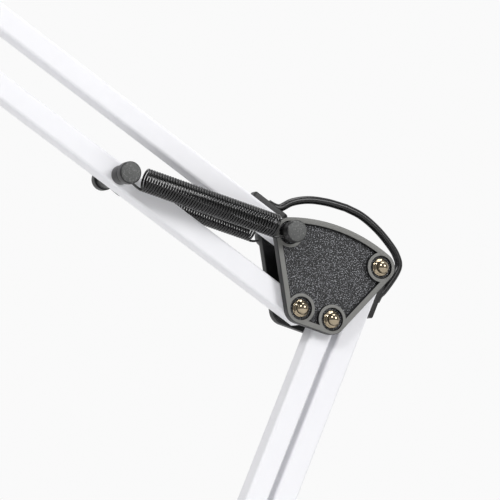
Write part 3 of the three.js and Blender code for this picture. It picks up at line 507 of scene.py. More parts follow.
@dataclass(frozen=True)
class FacedFinish(Finish):
    """A finish whose faces square to Y differ in colour or grain by their height, with painted sheen and
    glints.

    level is the distance from the middle plane, in millimetres, that parts raised faces from
    sunken ones, and nothing nearer than inner is either. The raised faces take the face
    colour, a painted sheen that stands in for the front light's gloss on faces turned to it, and
    one of the two has the grain, whose lit peaks take the painted_glint colour as painted glints.
    """

    level: float = 11.6
    inner: float = 9.0
    # face is painted sheen and painted_glint is painted glints: colour that stands in for light.
    face: str = "#747471"
    painted_glint: str = "#a4a5aa"
    grain_raised: bool = False

    def masks(self, tree: bpy.types.NodeTree, place, coordinates) -> tuple:
        """Tells the faces square to Y apart by their distance from the middle plane.

        Args:
            tree: The tree that the nodes go in.
            place: The socket with the object coordinates.
            coordinates: The texture coordinate node, for the normal.

        Returns:
            A socket that is 1 on raised faces, and one that is 1 on sunken faces.
        """
        parts = node(tree, "SeparateXYZ", {}, {0: place})
        depth = node(tree, "Math", {"operation": "ABSOLUTE"}, {0: parts.outputs["Y"]})
        above = node(tree, "Math", {"operation": "GREATER_THAN", 1: self.level * MM}, {0: depth.outputs[0]})
        outer = node(tree, "Math", {"operation": "GREATER_THAN", 1: self.inner * MM}, {0: depth.outputs[0]})
        normal = node(tree, "SeparateXYZ", {}, {0: coordinates.outputs["Normal"]})
        flat = node(tree, "Math", {"operation": "ABSOLUTE"}, {0: normal.outputs["Y"]})
        slope = node(tree, "MapRange", {"From Min": 0.75, "From Max": 0.95}, {"Value": flat.outputs[0]})
        faces = node(tree, "Math", {"operation": "MULTIPLY"}, {0: slope.outputs[0], 1: outer.outputs[0]})
        raised = node(tree, "Math", {"operation": "MULTIPLY"}, {0: faces.outputs[0], 1: above.outputs[0]})
        sunken = node(tree, "Math", {"operation": "SUBTRACT"}, {0: faces.outputs[0], 1: raised.outputs[0]})
        return raised.outputs[0], sunken.outputs[0]

    def colour(self, tree: bpy.types.NodeTree, base, place, coordinates):
        """The raised faces' painted sheen colour over the base, with painted glints on the grain's lit peaks
        on grained faces.

        Args:
            tree: The tree that the nodes go in.
            base: The socket with the mottled base colour.
            place: The socket with the object coordinates.
            coordinates: The texture coordinate node.

        Returns:
            The colour's socket.
        """
        raised, sunken = self.masks(tree, place, coordinates)
        # Painted sheen: raised faces turned to Y take the lighter face colour.
        with_painted_sheen = node(tree, "Mix", {"data_type": "RGBA"}, {0: raised, 6: base})
        with_painted_sheen.inputs[7].default_value = linear(self.face)
        # Painted glints: the grain's lit peaks take the painted_glint colour.
        grains = self.pattern(tree, place, self.grain, detail=4.0)
        glint_spots = node(tree, "MapRange", {"From Min": 0.55, "From Max": 0.64}, {"Value": grains.outputs[0]})
        where = raised if self.grain_raised else sunken
        lit = node(tree, "Math", {"operation": "MULTIPLY"}, {0: glint_spots.outputs[0], 1: where})
        with_painted_glints = node(tree, "Mix", {"data_type": "RGBA"}, {0: lit.outputs[0], 6: with_painted_sheen.outputs[2]})
        with_painted_glints.inputs[7].default_value = linear(self.painted_glint)
        return with_painted_glints.outputs[2]

    def height(self, tree: bpy.types.NodeTree, place, coordinates):
        """Coarse grain on the grained faces and a faint, finer one everywhere.

        Args:
            tree: The tree that the nodes go in.
            place: The socket with the object coordinates.
            coordinates: The texture coordinate node.

        Returns:
            The height's socket.
        """
        raised, sunken = self.masks(tree, place, coordinates)
        coarse = self.pattern(tree, place, self.grain, detail=4.0)
        fine = self.pattern(tree, place, self.grain / 4, detail=2.0)
        faint = node(tree, "Math", {"operation": "MULTIPLY", 1: 0.06}, {0: fine.outputs[0]})
        where = raised if self.grain_raised else sunken
        strong = node(tree, "Math", {"operation": "MULTIPLY"}, {0: coarse.outputs[0], 1: where})
        total = node(tree, "Math", {"operation": "ADD"}, {0: strong.outputs[0], 1: faint.outputs[0]})
        return total.outputs[0]


# Polyester powder coat: bright white with a faint blue cast and the orange peel of baking.
WHITE = Finish("white_powder_coat", "white_paint", "#f0f0f3", "#ececf0", roughness=0.42,
               grain=1.3, relief=0.002, mottle=40)
# Moulded plates: a spark-eroded field with painted glints on its grain, and raised rims and bosses whose grey
# is painted satin sheen of the front light.
NYLON = FacedFinish("black_moulded_nylon", "black_moulded", "#101113", "#08090a", roughness=0.46,
                    grain=0.55, relief=0.4, mottle=2.4)
# Plain mouldings: the same resin out of a polished mould, with a very fine texture.
MOULDED = Finish("black_moulded_plain", "black_moulded", "#121213", "#0c0c0d", roughness=0.4,
                 grain=0.35, relief=0.012, mottle=5)
# Pins: turned and blackened, with blasted cap faces whose grain is real and whose grey is painted sheen of
# the front light, with painted glints on the grain.
PIN_BLACK = FacedFinish("black_sanded_steel", "black_steel", "#161617", "#0e0e0f", roughness=0.38,
                        grain=0.6, relief=0.08, mottle=2,
                        level=20.0, face="#464746", painted_glint="#6c6d6c", grain_raised=True)
# Spring wire: oiled black oxide, near black but for a glint along each turn.
SPRING_BLACK = Finish("black_oxide_wire", "black_steel", "#0c0c0d", "#060607", roughness=0.2,
                      grain=0.3, relief=0.006, mottle=3, coat=0.2)
# Cap nuts: polished nickel plate, warm and mirror-like with hairline scuffs.
NICKEL = Finish("polished_nickel", "nickel", "#b3a68f", "#968975", roughness=0.12, metallic=1.0,
                grain=0.6, relief=0.004, mottle=4)
# Bolts and spigot: zinc plate, duller and cooler than the nuts.
ZINC = Finish("zinc_plated_steel", "plated_steel", "#c3c5c8", "#a9abb0", roughness=0.34, metallic=1.0,
              grain=0.5, relief=0.006, mottle=3)
# Base weight: sand-cast iron as it leaves the mould.
IRON = Finish("sand_cast_iron", "cast_iron", "#4c4c4e", "#343436", roughness=0.8, metallic=0.4,
              grain=1.2, relief=0.2, mottle=5)
# Foot: matt rubber sheet.
RUBBER = Finish("matt_rubber", "rubber", "#212122", "#191919", roughness=0.88,
                grain=0.5, relief=0.03, mottle=6)
# Cord: soft PVC with a slight gloss, drawn a little uneven.
CORD_BLACK = Finish("black_pvc_cord", "cord_pvc", "#101011", "#0a0a0b", roughness=0.3,
                    grain=2.5, relief=0.012, mottle=8)
# Bush: natural nylon, waxy and off-white.
WAXY = Finish("natural_nylon", "nylon", "#ebe6d8", "#dcd6c6", roughness=0.5, grain=0.6, relief=0.01, mottle=6)
# Lamp holder: ivory heat-resistant moulding.
IVORY = Finish("ivory_moulding", "holder_plastic", "#efebdd", "#e4dfce", roughness=0.35,
               grain=0.5, relief=0.008, mottle=6)
# Bulb: opal glass, which is even, milky and glossy.
OPAL = Finish("opal_glass", "opal_glass", "#faf7ee", "#f4f0e4", roughness=0.12, mottle=30,
              grain=4, relief=0.002, coat=0.6)
# Floor: matt paper, nearly white, with a tooth too fine to see.
PAPER = Finish("studio_paper", "white_paint", "#f2f2f2", "#efefef", roughness=0.8,
               grain=3, relief=0.01, mottle=300)


# --- Pieces ---


def make_piece(name: str, surface: Surface, finish: Finish, crease: float = CREASE) -> bpy.types.Object:
    """Puts a surface into a mesh object at the origin, welded, facing out and dressed.

    Args:
        name: The object's name.
        surface: Its points in millimetres.
        finish: What it is made of.
        crease: Edges that turn by more degrees than this stay sharp.

    Returns:
        The object, linked to the scene.
    """
    mesh = bpy.data.meshes.new(name)
    mesh.from_pydata((surface.points * MM).tolist(), [], surface.quads.tolist())
    shape = bmesh.new()
    shape.from_mesh(mesh)
    bmesh.ops.remove_doubles(shape, verts=shape.verts, dist=WELD)
    bmesh.ops.recalc_face_normals(shape, faces=shape.faces)
    shape.to_mesh(mesh)
    shape.free()
    made = bpy.data.objects.new(name, mesh)
    bpy.context.collection.objects.link(made)
    dress(made, finish, crease)
    LOG.info("%s: %d faces", name, len(mesh.polygons))
    return made


def dress(piece: bpy.types.Object, finish: Finish, crease: float = CREASE) -> None:
    """Gives a piece its finish, its slot and smooth shading with sharp creases.

    Args:
        piece: The object to dress.
        finish: What it is made of.
        crease: Edges that turn by more degrees than this stay sharp.
    """
    mesh = piece.data
    mesh.materials.clear()
    mesh.materials.append(finish.material())
    mesh.polygons.foreach_set("use_smooth", np.ones(len(mesh.polygons), bool))
    mesh.set_sharp_from_angle(angle=math.radians(crease))
    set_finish(piece, finish.slot)


def shaped(
    name: str,
    body: Surface,
    joins: Sequence[Surface],
    cuts: Sequence[Surface],
    finish: Finish,
    crease: float = CREASE,
) -> bpy.types.Object:
    """A solid joined with others and then cut.

    Args:
        name: The piece's name.
        body: The solid to start from.
        joins: Solids added to it.
        cuts: Solids taken from it.
        finish: What it is made of.
        crease: Edges that turn by more degrees than this stay sharp.

    Returns:
        The finished piece, with no modifier left on it.
    """
    made = make_piece(name, body, finish, crease=crease)
    tools = []
    for operation, surfaces in (("UNION", joins), ("DIFFERENCE", cuts)):
        for surface in surfaces:
            tool = make_piece(f"{name}_tool_{len(tools)}", surface, finish, crease=crease)
            tools.append(tool)
            change = made.modifiers.new("shape", "BOOLEAN")
            change.operation = operation
            change.object = tool
            change.solver = "EXACT"
    bpy.context.view_layer.update()
    final = bpy.data.meshes.new_from_object(made.evaluated_get(bpy.context.evaluated_depsgraph_get()))
    made.modifiers.clear()
    made.data = final
    final.name = name
    for tool in tools:
        bpy.data.objects.remove(tool)
    dress(made, finish, crease)
    return made


def settle(piece: bpy.types.Object, body: str, *nodes: str) -> bpy.types.Object:
    """Lets a piece ride on a body and stand for its CAD nodes.

    Args:
        piece: The object that rides.
        body: The body that carries it.
        nodes: The CAD nodes that it stands for, if any.

    Returns:
        The same piece.
    """
    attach(piece, body)
    if nodes:
        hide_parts(*nodes)
    return piece


# --- Pivots, from the frame's joints ---


def pivot(joint: str) -> Array:
    """Reads a joint's place from the frame.

    Args:
        joint: The joint's name.

    Returns:
        Its x and z, in millimetres.
    """
    rows = {row["name"]: row for row in frame["record"]["behaviour"]["joints"]}
    x, _, z = rows[joint]["pos_m"]
    return np.array([x, z]) / MM


def step(start: Array, length: float, angle: float) -> Array:
    """A place moved by a length at an angle in degrees from +X towards +Z."""
    return start + length * np.array([math.cos(math.radians(angle)), math.sin(math.radians(angle))])


def angle_of(vector: Array) -> float:
    """The angle in degrees of a step in the XZ plane."""
    return math.degrees(math.atan2(vector[1], vector[0]))


B1, B2 = pivot("lower_arm"), pivot("lower_arm_left")
P1, P4, P3 = pivot("elbow_level"), pivot("upper_arm"), pivot("upper_arm_low")
H4, TILT = pivot("head_level"), pivot("head_tilt")
P2 = B2 + (P1 - B1)
H3 = P3 + (H4 - P4)
LOWER_ANGLE = angle_of(P1 - B1)
UPPER_ANGLE = angle_of(H4 - P4)


@dataclass(frozen=True)
class Sizes:
    """Sizes that several sub-assemblies share, in millimetres."""

    gap: float = 0.3
    bar: float = 12.0
    wall: float = 1.0
    corner: float = 1.6
    overhang: float = 6.5
    boss: float = 8.0
    rim: float = 3.0
    field: float = 2.2
    plate_inner: float = 7.2
    plate_outer: float = 12.2
    counterbore: float = 5.9
    seat: float = 11.0
    clearance: float = 0.35
    cord: float = 2.1
    spring_offset: float = 15.5
    spring_reach: float = 119.0

    @property
    def bar_side(self) -> float:
        """The plane a gap off a bar's side."""
        return self.bar / 2 + self.gap

    @property
    def nut_seat(self) -> float:
        """The plane a gap off a counterbore's floor."""
        return self.seat + self.gap


SIZE = Sizes()


# --- Fasteners ---


@dataclass(frozen=True)
class CapNut:
    """A flanged hexagon nut with a domed cap, on the front of a pivot."""

    flat: float = 4.0
    height: float = 2.2
    cone: float = 1.0
    sunk: float = 0.5
    flange: float = 4.8
    flange_edge: float = 0.35
    flange_slope: float = 0.55
    flange_height: float = 0.85
    dome: float = 3.3
    dome_radius: float = 3.4
    neck: float = 0.35

    def surface(self, centre: Array) -> Surface:
        """The nut: a flange, a hexagon whose corners are cut by a cone, and a dome on its face.

        The hexagon's radius is the lesser of the turned profile's and the flat's distance over
        the cosine of the angle from the middle of that flat.

        Args:
            centre: The pivot's x and z.

        Returns:
            The three closed shapes in one surface.
        """
        seat = -SIZE.nut_seat
        face, low = seat - self.height, seat - self.sunk
        corner = self.flat / math.cos(math.pi / 6)

        def hexagon(turn: Array, radius: Array) -> Array:
            """The lesser of the turned radius and the hexagon's."""
            off = (turn + math.pi / 6) % (math.pi / 3) - math.pi / 6
            return np.minimum(radius, self.flat / np.cos(off))

        body = [(0, low), (corner, low), (corner, face + self.cone), (self.dome_radius - 0.1, face),
                (0, face)]
        nut = loft(circles(softened(body, 0.15, steps=3), 96, Axis.Y, hexagon))
        lift = np.linspace(0, math.pi / 2, 16)
        crown = [(self.dome_radius * math.sin(t), face - self.dome * math.cos(t)) for t in lift]
        stem = self.dome_radius - self.neck
        neck = [(stem, face + 0.1), (stem, face + self.sunk), (0, face + self.sunk)]
        dome = loft(circles(np.array([*crown, *neck]), 64, Axis.Y))
        top = seat - self.flange_height
        rim = [(0, seat), (self.flange, seat), (self.flange, seat - self.flange_edge),
               (self.flange - self.flange_slope, top), (0, top)]
        flange = loft(circles(softened(rim, 0.2, steps=3), 72, Axis.Y))
        return (nut + dome + flange).shifted(centre[0], 0, centre[1])


@dataclass(frozen=True)
class Bolt:
    """A round-headed bolt with a socket in its head, which sits in the rear plate."""

    past: float = 2.2
    shank: float = 2.5
    head: float = 4.6
    head_height: float = 2.8
    head_slope: float = 1.0
    crown: float = 3.4
    socket: float = 1.9
    socket_floor: float = 1.7
    socket_depth: float = 1.6

    def surface(self, centre: Array) -> Surface:
        """The bolt, from its end past the front seat to its head.

        Args:
            centre: The pivot's x and z.

        Returns:
            The turned bolt.
        """
        end, seat = -(SIZE.seat + self.past), SIZE.nut_seat
        top = seat + self.head_height
        floor = top - self.socket_depth
        profile = [(0, end), (self.shank, end), (self.shank, seat), (self.head, seat),
                   (self.head, top - self.head_slope), (self.crown, top), (self.socket, top),
                   (self.socket_floor, floor), (0, floor)]
        return turned(profile, Axis.Y, centre, sides=48, soft=0.4)


@dataclass(frozen=True)
class SpringPin:
    """A grooved pin whose two capped ends hold a pair of springs."""

    collar_start: float
    shank: float = 3.0
    collar: float = 5.0
    groove: float = 3.6
    groove_half: float = 1.2
    cap: float = 5.8
    cap_face: float = 5.1
    cap_edge: float = 0.6
    end: float = 22.0

    def surface(self, centre: Array) -> Surface:
        """The pin, drawn as one half and its mirror image.

        Args:
            centre: The pin's x and z.

        Returns:
            The turned pin.
        """
        near, far = SIZE.spring_offset - self.groove_half, SIZE.spring_offset + self.groove_half
        half = [(self.shank, self.collar_start), (self.collar, self.collar_start), (self.collar, near),
                (self.groove, near), (self.groove, far), (self.cap, far),
                (self.cap, self.end - self.cap_edge), (self.cap_face, self.end), (0, self.end)]
        mirrored = [(radius, -height) for radius, height in reversed(half)]
        return turned([*mirrored, *half], Axis.Y, centre, sides=56, soft=0.35)


# --- Cords ---


class Cords:
    """The free mains lead on the table and the loops that carry the cord past the joints."""

    gland_end = 128.4
    gland_height = 8.8
    coil_centre = (-30.6, 178.0)
    turns = 9.25
    ease_from = 0.66
    plug_at = (-84.5, 203.5, 7.3)
    plug_stretch = (1, 1.28, 0.7)
    plug_pin_at = 9.5
    tie_half_width = 2.4
    # Where each turn lies in the coil, as radius and height: always one cord from the last.
    stations = ((29.6, 2.2), (25.1, 2.2), (20.6, 2.2), (20.6, 6.7), (20.6, 11.2),
                (25.1, 11.2), (25.1, 6.7), (29.6, 6.7), (29.6, 11.2), (29.6, 11.2))

    def lead_path(self) -> Array:
        """The whole lead: out of the gland, round the coil and along to the plug.

        In the coil the radius and height ease from one station to the next over the last third
        of each turn, by the smooth step 3s² - 2s³.

        Returns:
            Points along the lead's middle.
        """
        end, rise = self.gland_end, self.gland_height
        out = [(0, end, rise), (0, end + 6, rise - 0.7), (-0.3, end + 13, rise - 3.2),
               (-0.9, end + 21, rise - 6), (-1.05, 159.5, 2.2)]
        turn = np.linspace(0, self.turns, int(self.turns * 40))
        whole = np.minimum(turn.astype(int), len(self.stations) - 2)
        s = np.clip((turn - whole - self.ease_from) / (1 - self.ease_from), 0, 1)
        ease = (3 * s**2 - 2 * s**3)[:, None]
        stations = np.asarray(self.stations)
        radius, height = (stations[whole] * (1 - ease) + stations[whole + 1] * ease).T
        x = self.coil_centre[0] + radius * np.cos(turn * TURN)
        y = self.coil_centre[1] + radius * np.sin(turn * TURN)
        tail = [(-40, 207.6, 10.2), (-48.8, 207.4, 8.4), (-58, 207, 7.6), (-68, 205.6, 7.3),
                (-77, 204.2, 7.3), (-84, 203.5, 7.3)]
        return smooth_path([*out, *np.stack([x, y, height], -1), *tail], step=1.6)

    def mains(self) -> None:
        """Makes the free lead, its plug and the tie round its coil."""
        path = self.lead_path()
        lead = make_piece("mains_cord", swept(path, SIZE.cord, (0, 0, 1)), CORD_BLACK, crease=60)
        ends = [*self.plug(), self.tie()]
        settle(lead, "base", "mains_lead", "mains_coil", "mains_tail")

    def plug(self) -> list[bpy.types.Object]:
        """A slim two-pin plug, turned and then stretched across and flattened, and its pins.

        Returns:
            The plug's body and its two pins.
        """
        body = turned([(0, 0), (3.6, -0.2), (4.4, -3), (4.6, -8), (6.4, -14), (9.2, -24), (9.9, -35),
                       (9.5, -38), (0, -38)], Axis.X, sides=64, soft=1.2)
        wide = Surface(body.points * np.array(self.plug_stretch), body.quads).shifted(*self.plug_at)
        made = [settle(make_piece("mains_plug_body", wide, MOULDED), "base", "mains_plug")]
        pin = turned([(0, -57), (1.5, -57), (2, -56), (2, -37), (0, -37)], Axis.X, sides=28, soft=0.4)
        for label, y in (("near", -self.plug_pin_at), ("far", self.plug_pin_at)):
            metal = pin.shifted(*self.plug_at).shifted(0, y, 0)
            made.append(settle(make_piece(f"plug_pin_{label}", metal, NICKEL), "base"))
        return made

    def tie(self) -> bpy.types.Object:
        """A strap round the coil's section on its left, which hugs the turns.

        Its section is the curve x⁴ + z⁴ = 1, flattened where it lies on the floor.

        Returns:
            The strap.
        """
        t = np.linspace(0, TURN, 49)[:-1]
        centre = np.array([self.coil_centre[0] - 25.1, self.coil_centre[1], 6.7])
        bulge = (np.abs(np.cos(t)) ** 4 + np.abs(np.sin(t)) ** 4) ** -0.25
        rings = []
        half = self.tie_half_width
        for reach, y in ((6.75, -half), (6.9, -half), (6.9, half), (6.75, half)):
            x, z = reach * bulge * np.cos(t), min(reach, 6.65) * bulge * np.sin(t)
            rings.append(centre + np.stack([x, np.full(len(t), y), z], -1))
        return settle(make_piece("cord_tie", loft(np.stack(rings), True), RUBBER), "base")

    @staticmethod
    def way_out(start: Array, angle: float, towards: int) -> list[Array]:
        """The cord's way out of a grommet: along the bar and then off it.

        Args:
            start: The bar's end pivot.
            angle: The bar's angle in degrees.
            towards: 1 from the bar's near end, -1 from its far end.

        Returns:
            Places as x and z.
        """
        floor = SIZE.bar_side + 0.5 + SIZE.gap + SIZE.cord
        stations = ((14.7, floor), (11.0, floor + 0.5), (8.2, floor + 1.8))
        return [step(step(start, towards * along, angle), out, angle - 90) for along, out in stations]

    @staticmethod
    def loop(name: str, route: Sequence[Array], bodies: tuple[str, str], *nodes: str) -> None:
        """A curved length of cord in the middle plane.

        Args:
            name: The piece's name.
            route: Places as x and z that it passes through.
            bodies: Not used.
            nodes: The CAD nodes that it stands for.
        """
        path = smooth_path([(x, 0, z) for x, z in route], step=0.7)
        made = make_piece(name, swept(path, SIZE.cord, (0, 1, 0), sides=20), CORD_BLACK, crease=60)
        LOG.info("%s: %.1f mm of cord", name, length_of(path))
        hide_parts(*nodes)
        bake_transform(made)

    def loops(self) -> None:
        """The loops at the foot, the elbow and the head, split where a second joint starts."""
        low = [(15.4, -4), (15.4, -13), (11.6, -21.5), (4, -27.5), (-6, -30.5), (-12.5, -34.5),
               (-14.4, -39.3)]
        foot = [*self.way_out(B1, LOWER_ANGLE, 1), *(B1 + p for p in np.array(low))]
        self.loop("foot_cord_loop", foot, ("lower_right", "bracket"), "base_cord_loop")
        free = [(-0.1, 56.4), (9.3, 58), (20.4, 57.1), (31.5, 54.5), (40, 50.8), (48.4, 44.7),
                (55.8, 37.2), (60.8, 30.2), (62.2, 24.1)]
        elbow = [*self.way_out(P4, UPPER_ANGLE, 1), *(P3 + p for p in np.array(free)),
                 *reversed(self.way_out(P1, LOWER_ANGLE, -1))]
        middle = 6
        self.loop("elbow_cord_upper", elbow[:middle + 1], ("upper_high", "elbow"), "elbow_cord_loop")
        self.loop("elbow_cord_lower", elbow[middle:], ("elbow", "lower_right"), "elbow_cord_loop")
        top = [(33, 37), (22.5, 41.7), (11, 42.6), (1, 40.5), (-6, 33.5), (-8.2, 23.5), (-6.4, 14.5),
               (-4.4, 10.2)]
        head = [*self.way_out(H4, UPPER_ANGLE, -1), *(TILT + p for p in np.array(top))]
        self.loop("head_cord_upper", head[:middle + 1], ("upper_high", "head_bracket"), "head_cord_loop")
        self.loop("head_cord_lower", head[middle:], ("head_bracket", "knuckle"), "head_cord_loop")

    def build(self) -> None:
        """Makes every cord."""
        self.mains()
        self.loops()


# --- Arms and springs ---


@dataclass(frozen=True)
class Arm:
    """Two square tubes, with a spring pin through one and the cord inside the other."""

    prefix: str
    spring_start: tuple[float, float]
    cord_start: tuple[float, float]
    angle: float
    length: float
    spring_bar: str
    cord_bar: str
    spring_body: str
    cord_body: str
    grommet_half: float = 3.5
    grommet_nose: float = 5.2
    grommet_tail: float = 25.0
    grommet_corner: float = 1.2
    grommet_height: float = 3.4
    groove_height: float = 3.2

    def tube(self) -> Surface:
        """A square tube with rounded corners along its own X, open at both ends.

        The section is a square whose corner arcs shrink with the inset. A point a little way
        along the flat at each arc's end keeps the flat's shading flat. The wall goes out along
        the outside and back along the inside.

        Returns:
            The closed wall.
        """
        low, high = -SIZE.overhang, self.length + SIZE.overhang
        lip, band, support = 0.35, 2, 0.25
        edge = [(SIZE.wall, low), (lip, low), (0, low + lip), (0, low + band),
                (0, high - band), (0, high - lip), (lip, high), (SIZE.wall, high)]
        arc = np.concatenate([[0], np.linspace(0, 1, 9), [1]])
        aside = np.concatenate([[-support], np.zeros(9), [support]])
        t = (np.arange(4)[:, None] + arc).ravel() * math.pi / 2
        along = np.tile(aside, 4)
        quarter = np.repeat(np.arange(4), len(arc)) * math.pi / 2 + math.pi / 4
        rings = []
        for inset, x in edge:
            corner = max(SIZE.corner - inset, 0.5)
            reach = (SIZE.bar / 2 - inset - corner) * math.sqrt(2)
            y = reach * np.cos(quarter) + corner * np.cos(t) - along * np.sin(t)
            z = reach * np.sin(quarter) + corner * np.sin(t) + along * np.cos(t)
            rings.append(np.stack([np.full(len(t), x), y, z], -1))
        return loft(np.stack(rings), True)

    def at_end(self, surface: Surface, far: bool) -> Surface:
        """Puts a shape drawn for the near end at either end.

        Args:
            surface: The shape as it lies at the near end.
            far: Whether it goes to the far end, turned half round the bar's normal.

        Returns:
            The shape at its end.
        """
        if not far:
            return surface
        return Surface(surface.points * np.array([-1, -1, 1]), surface.quads).shifted(self.length, 0, 0)

    def grommet(self, far: bool) -> Surface:
        """A strip with a round nose and soft edges, lying on the bar's outer side.

        Args:
            far: Whether it is the far end's.

        Returns:
            The strip, without its groove.
        """
        half, corner = self.grommet_half, self.grommet_corner
        ends = [((self.grommet_tail - corner, z), corner) for z in (-half + corner, half - corner)]
        outline = Outline((((self.grommet_nose, 0.0), half), *ends))
        base, top = -SIZE.bar / 2 - 0.15, -SIZE.bar / 2 - SIZE.gap - self.grommet_height
        solid = outline.slab([(0, base), (0, top), (half - 0.4, top)], soft=0.9)
        return self.at_end(Surface(solid.points[:, [0, 2, 1]], solid.quads), far)

    def channel(self, far: bool) -> Surface:
        """The groove that the cord leaves by: a rod sunk in the strip's top.

        Args:
            far: Whether it is the far end's.

        Returns:
            The rod to cut away.
        """
        middle = (0, -SIZE.bar / 2 - self.groove_height)
        groove = turned(rod(SIZE.cord + SIZE.clearance, 2.0, 15.0), Axis.X, middle, sides=32)
        return self.at_end(groove, far)

    def build(self) -> None:
        """Makes both tubes, the pin and the two grommets."""
        spring_place = Place.along(self.spring_start, self.angle)
        cord_place = Place.along(self.cord_start, self.angle)
        settle(make_piece(f"{self.prefix}_tube_springs", spring_place.move(self.tube()), WHITE, crease=50),
               self.spring_body, self.spring_bar)
        settle(make_piece(f"{self.prefix}_tube_cord", cord_place.move(self.tube()), WHITE, crease=50),
               self.cord_body, self.cord_bar)
        centre = step(np.asarray(self.spring_start), SIZE.spring_reach, self.angle)
        pin = make_piece(f"{self.prefix}_bar_pin", SpringPin(SIZE.bar_side).surface(centre), PIN_BLACK)
        settle(pin, self.spring_body, f"{self.prefix}_spring_pin")
        for far in (False, True):
            label = "far" if far else "near"
            strip = shaped(f"{self.prefix}_strip_{label}", cord_place.move(self.grommet(far)), [],
                           [cord_place.move(self.channel(far))], MOULDED)
            settle(strip, self.cord_body, f"{self.prefix}_grommet_{label}")


@dataclass(frozen=True)
class Springs:
    """A pair of close-wound extension springs between a link's pin and a bar's pin."""

    prefix: str
    link_pin: tuple[float, float]
    bar_pin: tuple[float, float]
    bodies: tuple[str, str]
    outside: float = 6.3
    wire: float = 0.64
    pitch: float = 1.52
    from_link: float = 8.8
    from_bar: float = 9.4
    wrap_from: float = 50.0
    wrap_to: float = 300.0

    def hook(self, pin: float, coil: float, y: float) -> Surface:
        """Wire from the coil's rim that crosses to a pin's groove and wraps most of it.

        Args:
            pin: The pin's x.
            coil: The x of the coil's end.
            y: The coil's y.

        Returns:
            The hook's wire.
        """
        wrap = SpringPin.groove + SIZE.gap + self.wire
        towards = math.copysign(1, coil - pin)
        turn = np.radians(np.linspace(self.wrap_from, self.wrap_to, 27))
        arc = np.stack([pin + towards * wrap * np.cos(turn), np.full(len(turn), y), wrap * np.sin(turn)], -1)
        rim = self.outside - self.wire
        start = [(coil + towards * 0.5, y, rim), (coil - towards * 1.2, y, rim * 0.93)]
        return swept(smooth_path([*start, *arc], step=0.5), self.wire, (0, 1, 0), sides=10)

    def coil(self, low: float, high: float, y: float) -> Surface:
        """A helix: x grows with the turn while y and z go round at the coil's middle radius.

        Args:
            low: The x of its start.
            high: The x of its end.
            y: Its middle's y.

        Returns:
            The coil's wire.
        """
        count = round((high - low) / self.pitch)
        turn = np.linspace(0, count, count * 22)
        radius = self.outside - self.wire
        x = low + self.wire + (high - low - 2 * self.wire) * turn / count
        path = np.stack([x, y + radius * np.sin(turn * TURN), radius * np.cos(turn * TURN)], -1)
        return swept(path, self.wire, (1, 0, 0), sides=8)

    def build(self) -> None:
        """Makes the front and the rear spring, each one wire from hook to hook."""
        along = np.subtract(self.bar_pin, self.link_pin)
        length = float(np.hypot(*along))
        place = Place.along(self.link_pin, angle_of(along))
        low, high = self.from_link, length - self.from_bar
        for side in Side:
            y = side.value * SIZE.spring_offset
            wire = self.coil(low, high, y) + self.hook(0, low, y) + self.hook(length, high, y)
            made = make_piece(f"{self.prefix}_coil_{side.label}", place.move(wire), SPRING_BLACK, crease=70)
            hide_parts(f"{self.prefix}_spring_{side.label}", f"{self.prefix}_spring_hook_{side.label}")
            ends = place.out(np.array([[low, y, 0], [high, y, 0]])) * MM
            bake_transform(made)


# --- Plates ---


@dataclass(frozen=True)
class SidePlate:
    """A moulded plate: a raised rim, ringed bosses and a sunken grained field."""

    name: str
    outline: Outline
    shanks: tuple[float, ...]
    rim_slope: float = 0.15
    pad_step: float = 1.5
    mouth_depth: float = 0.3
    mouth_slope: float = 0.5

    def build(self, side: Side, body: str, cad_node: str) -> None:
        """Makes one plate and settles it.

        Args:
            side: The side it is on.
            body: The body it rides on.
            cad_node: The CAD node it stands for.
        """
        inner, outer = SIZE.plate_inner, SIZE.plate_outer
        floor = outer - SIZE.field
        edge = [(SIZE.rim + 3, inner), (0, inner), (0, outer), (SIZE.rim, outer),
                (SIZE.rim + self.rim_slope, floor), (SIZE.rim + 1.5, floor)]
        body_shape = self.outline.slab(facing(side, edge), soft=0.45)
        joins, cuts = [], []
        for (centre, _), shank in zip(self.outline.discs, self.shanks):
            boss = facing(side, rod(SIZE.boss - 0.03, inner + 0.5, outer - 0.004))
            joins.append(turned(boss, Axis.Y, centre, sides=96, soft=0.42))
            pad = facing(side, rod(SIZE.boss - self.pad_step, SIZE.bar_side, inner + 1))
            joins.append(turned(pad, Axis.Y, centre, sides=72))
            hole, mouth = shank + SIZE.clearance, SIZE.counterbore
            wide = mouth + self.mouth_slope
            bore = [(0, 0), (hole, 0), (hole, SIZE.seat), (mouth, SIZE.seat),
                    (mouth, outer - self.mouth_depth), (wide, outer + 0.2), (wide, outer + 2), (0, outer + 2)]
            cuts.append(turned(facing(side, bore), Axis.Y, centre, sides=80, soft=0.12))
        made = shaped(f"{self.name}_{side.label}", body_shape, joins, cuts, NYLON, crease=38)
        settle(made, body, cad_node)


@dataclass(frozen=True)
class Elbow:
    """The elbow: two plates, three bolts with cap nuts and the upper springs' pin."""

    bulge: float = 83.0

    def build(self) -> None:
        """Makes the elbow."""
        discs = tuple((tuple(place), SIZE.boss) for place in (P3, P2, P1, P4))
        outline = Outline(discs, bulge_after=2, bulge=self.bulge)
        plate = SidePlate("elbow_side", outline, (Bolt.shank, Bolt.shank, Bolt.shank, SpringPin.shank))
        for side in Side:
            plate.build(side, "elbow", f"elbow_plate_{side.label}")
        for label, place in (("corner", P3), ("inner", P2), ("outer", P1)):
            nut = make_piece(f"elbow_cap_nut_{label}", CapNut().surface(place), NICKEL, crease=28)
            settle(nut, "elbow", f"elbow_nut_{label}")
            shank = make_piece(f"elbow_pivot_{label}", Bolt().surface(place), ZINC)
            settle(shank, "elbow", f"elbow_bolt_{label}")
        pin = make_piece("elbow_pin", SpringPin(SIZE.nut_seat).surface(P4), PIN_BLACK)
        settle(pin, "elbow", "elbow_spring_pin")


# --- Base and bracket ---


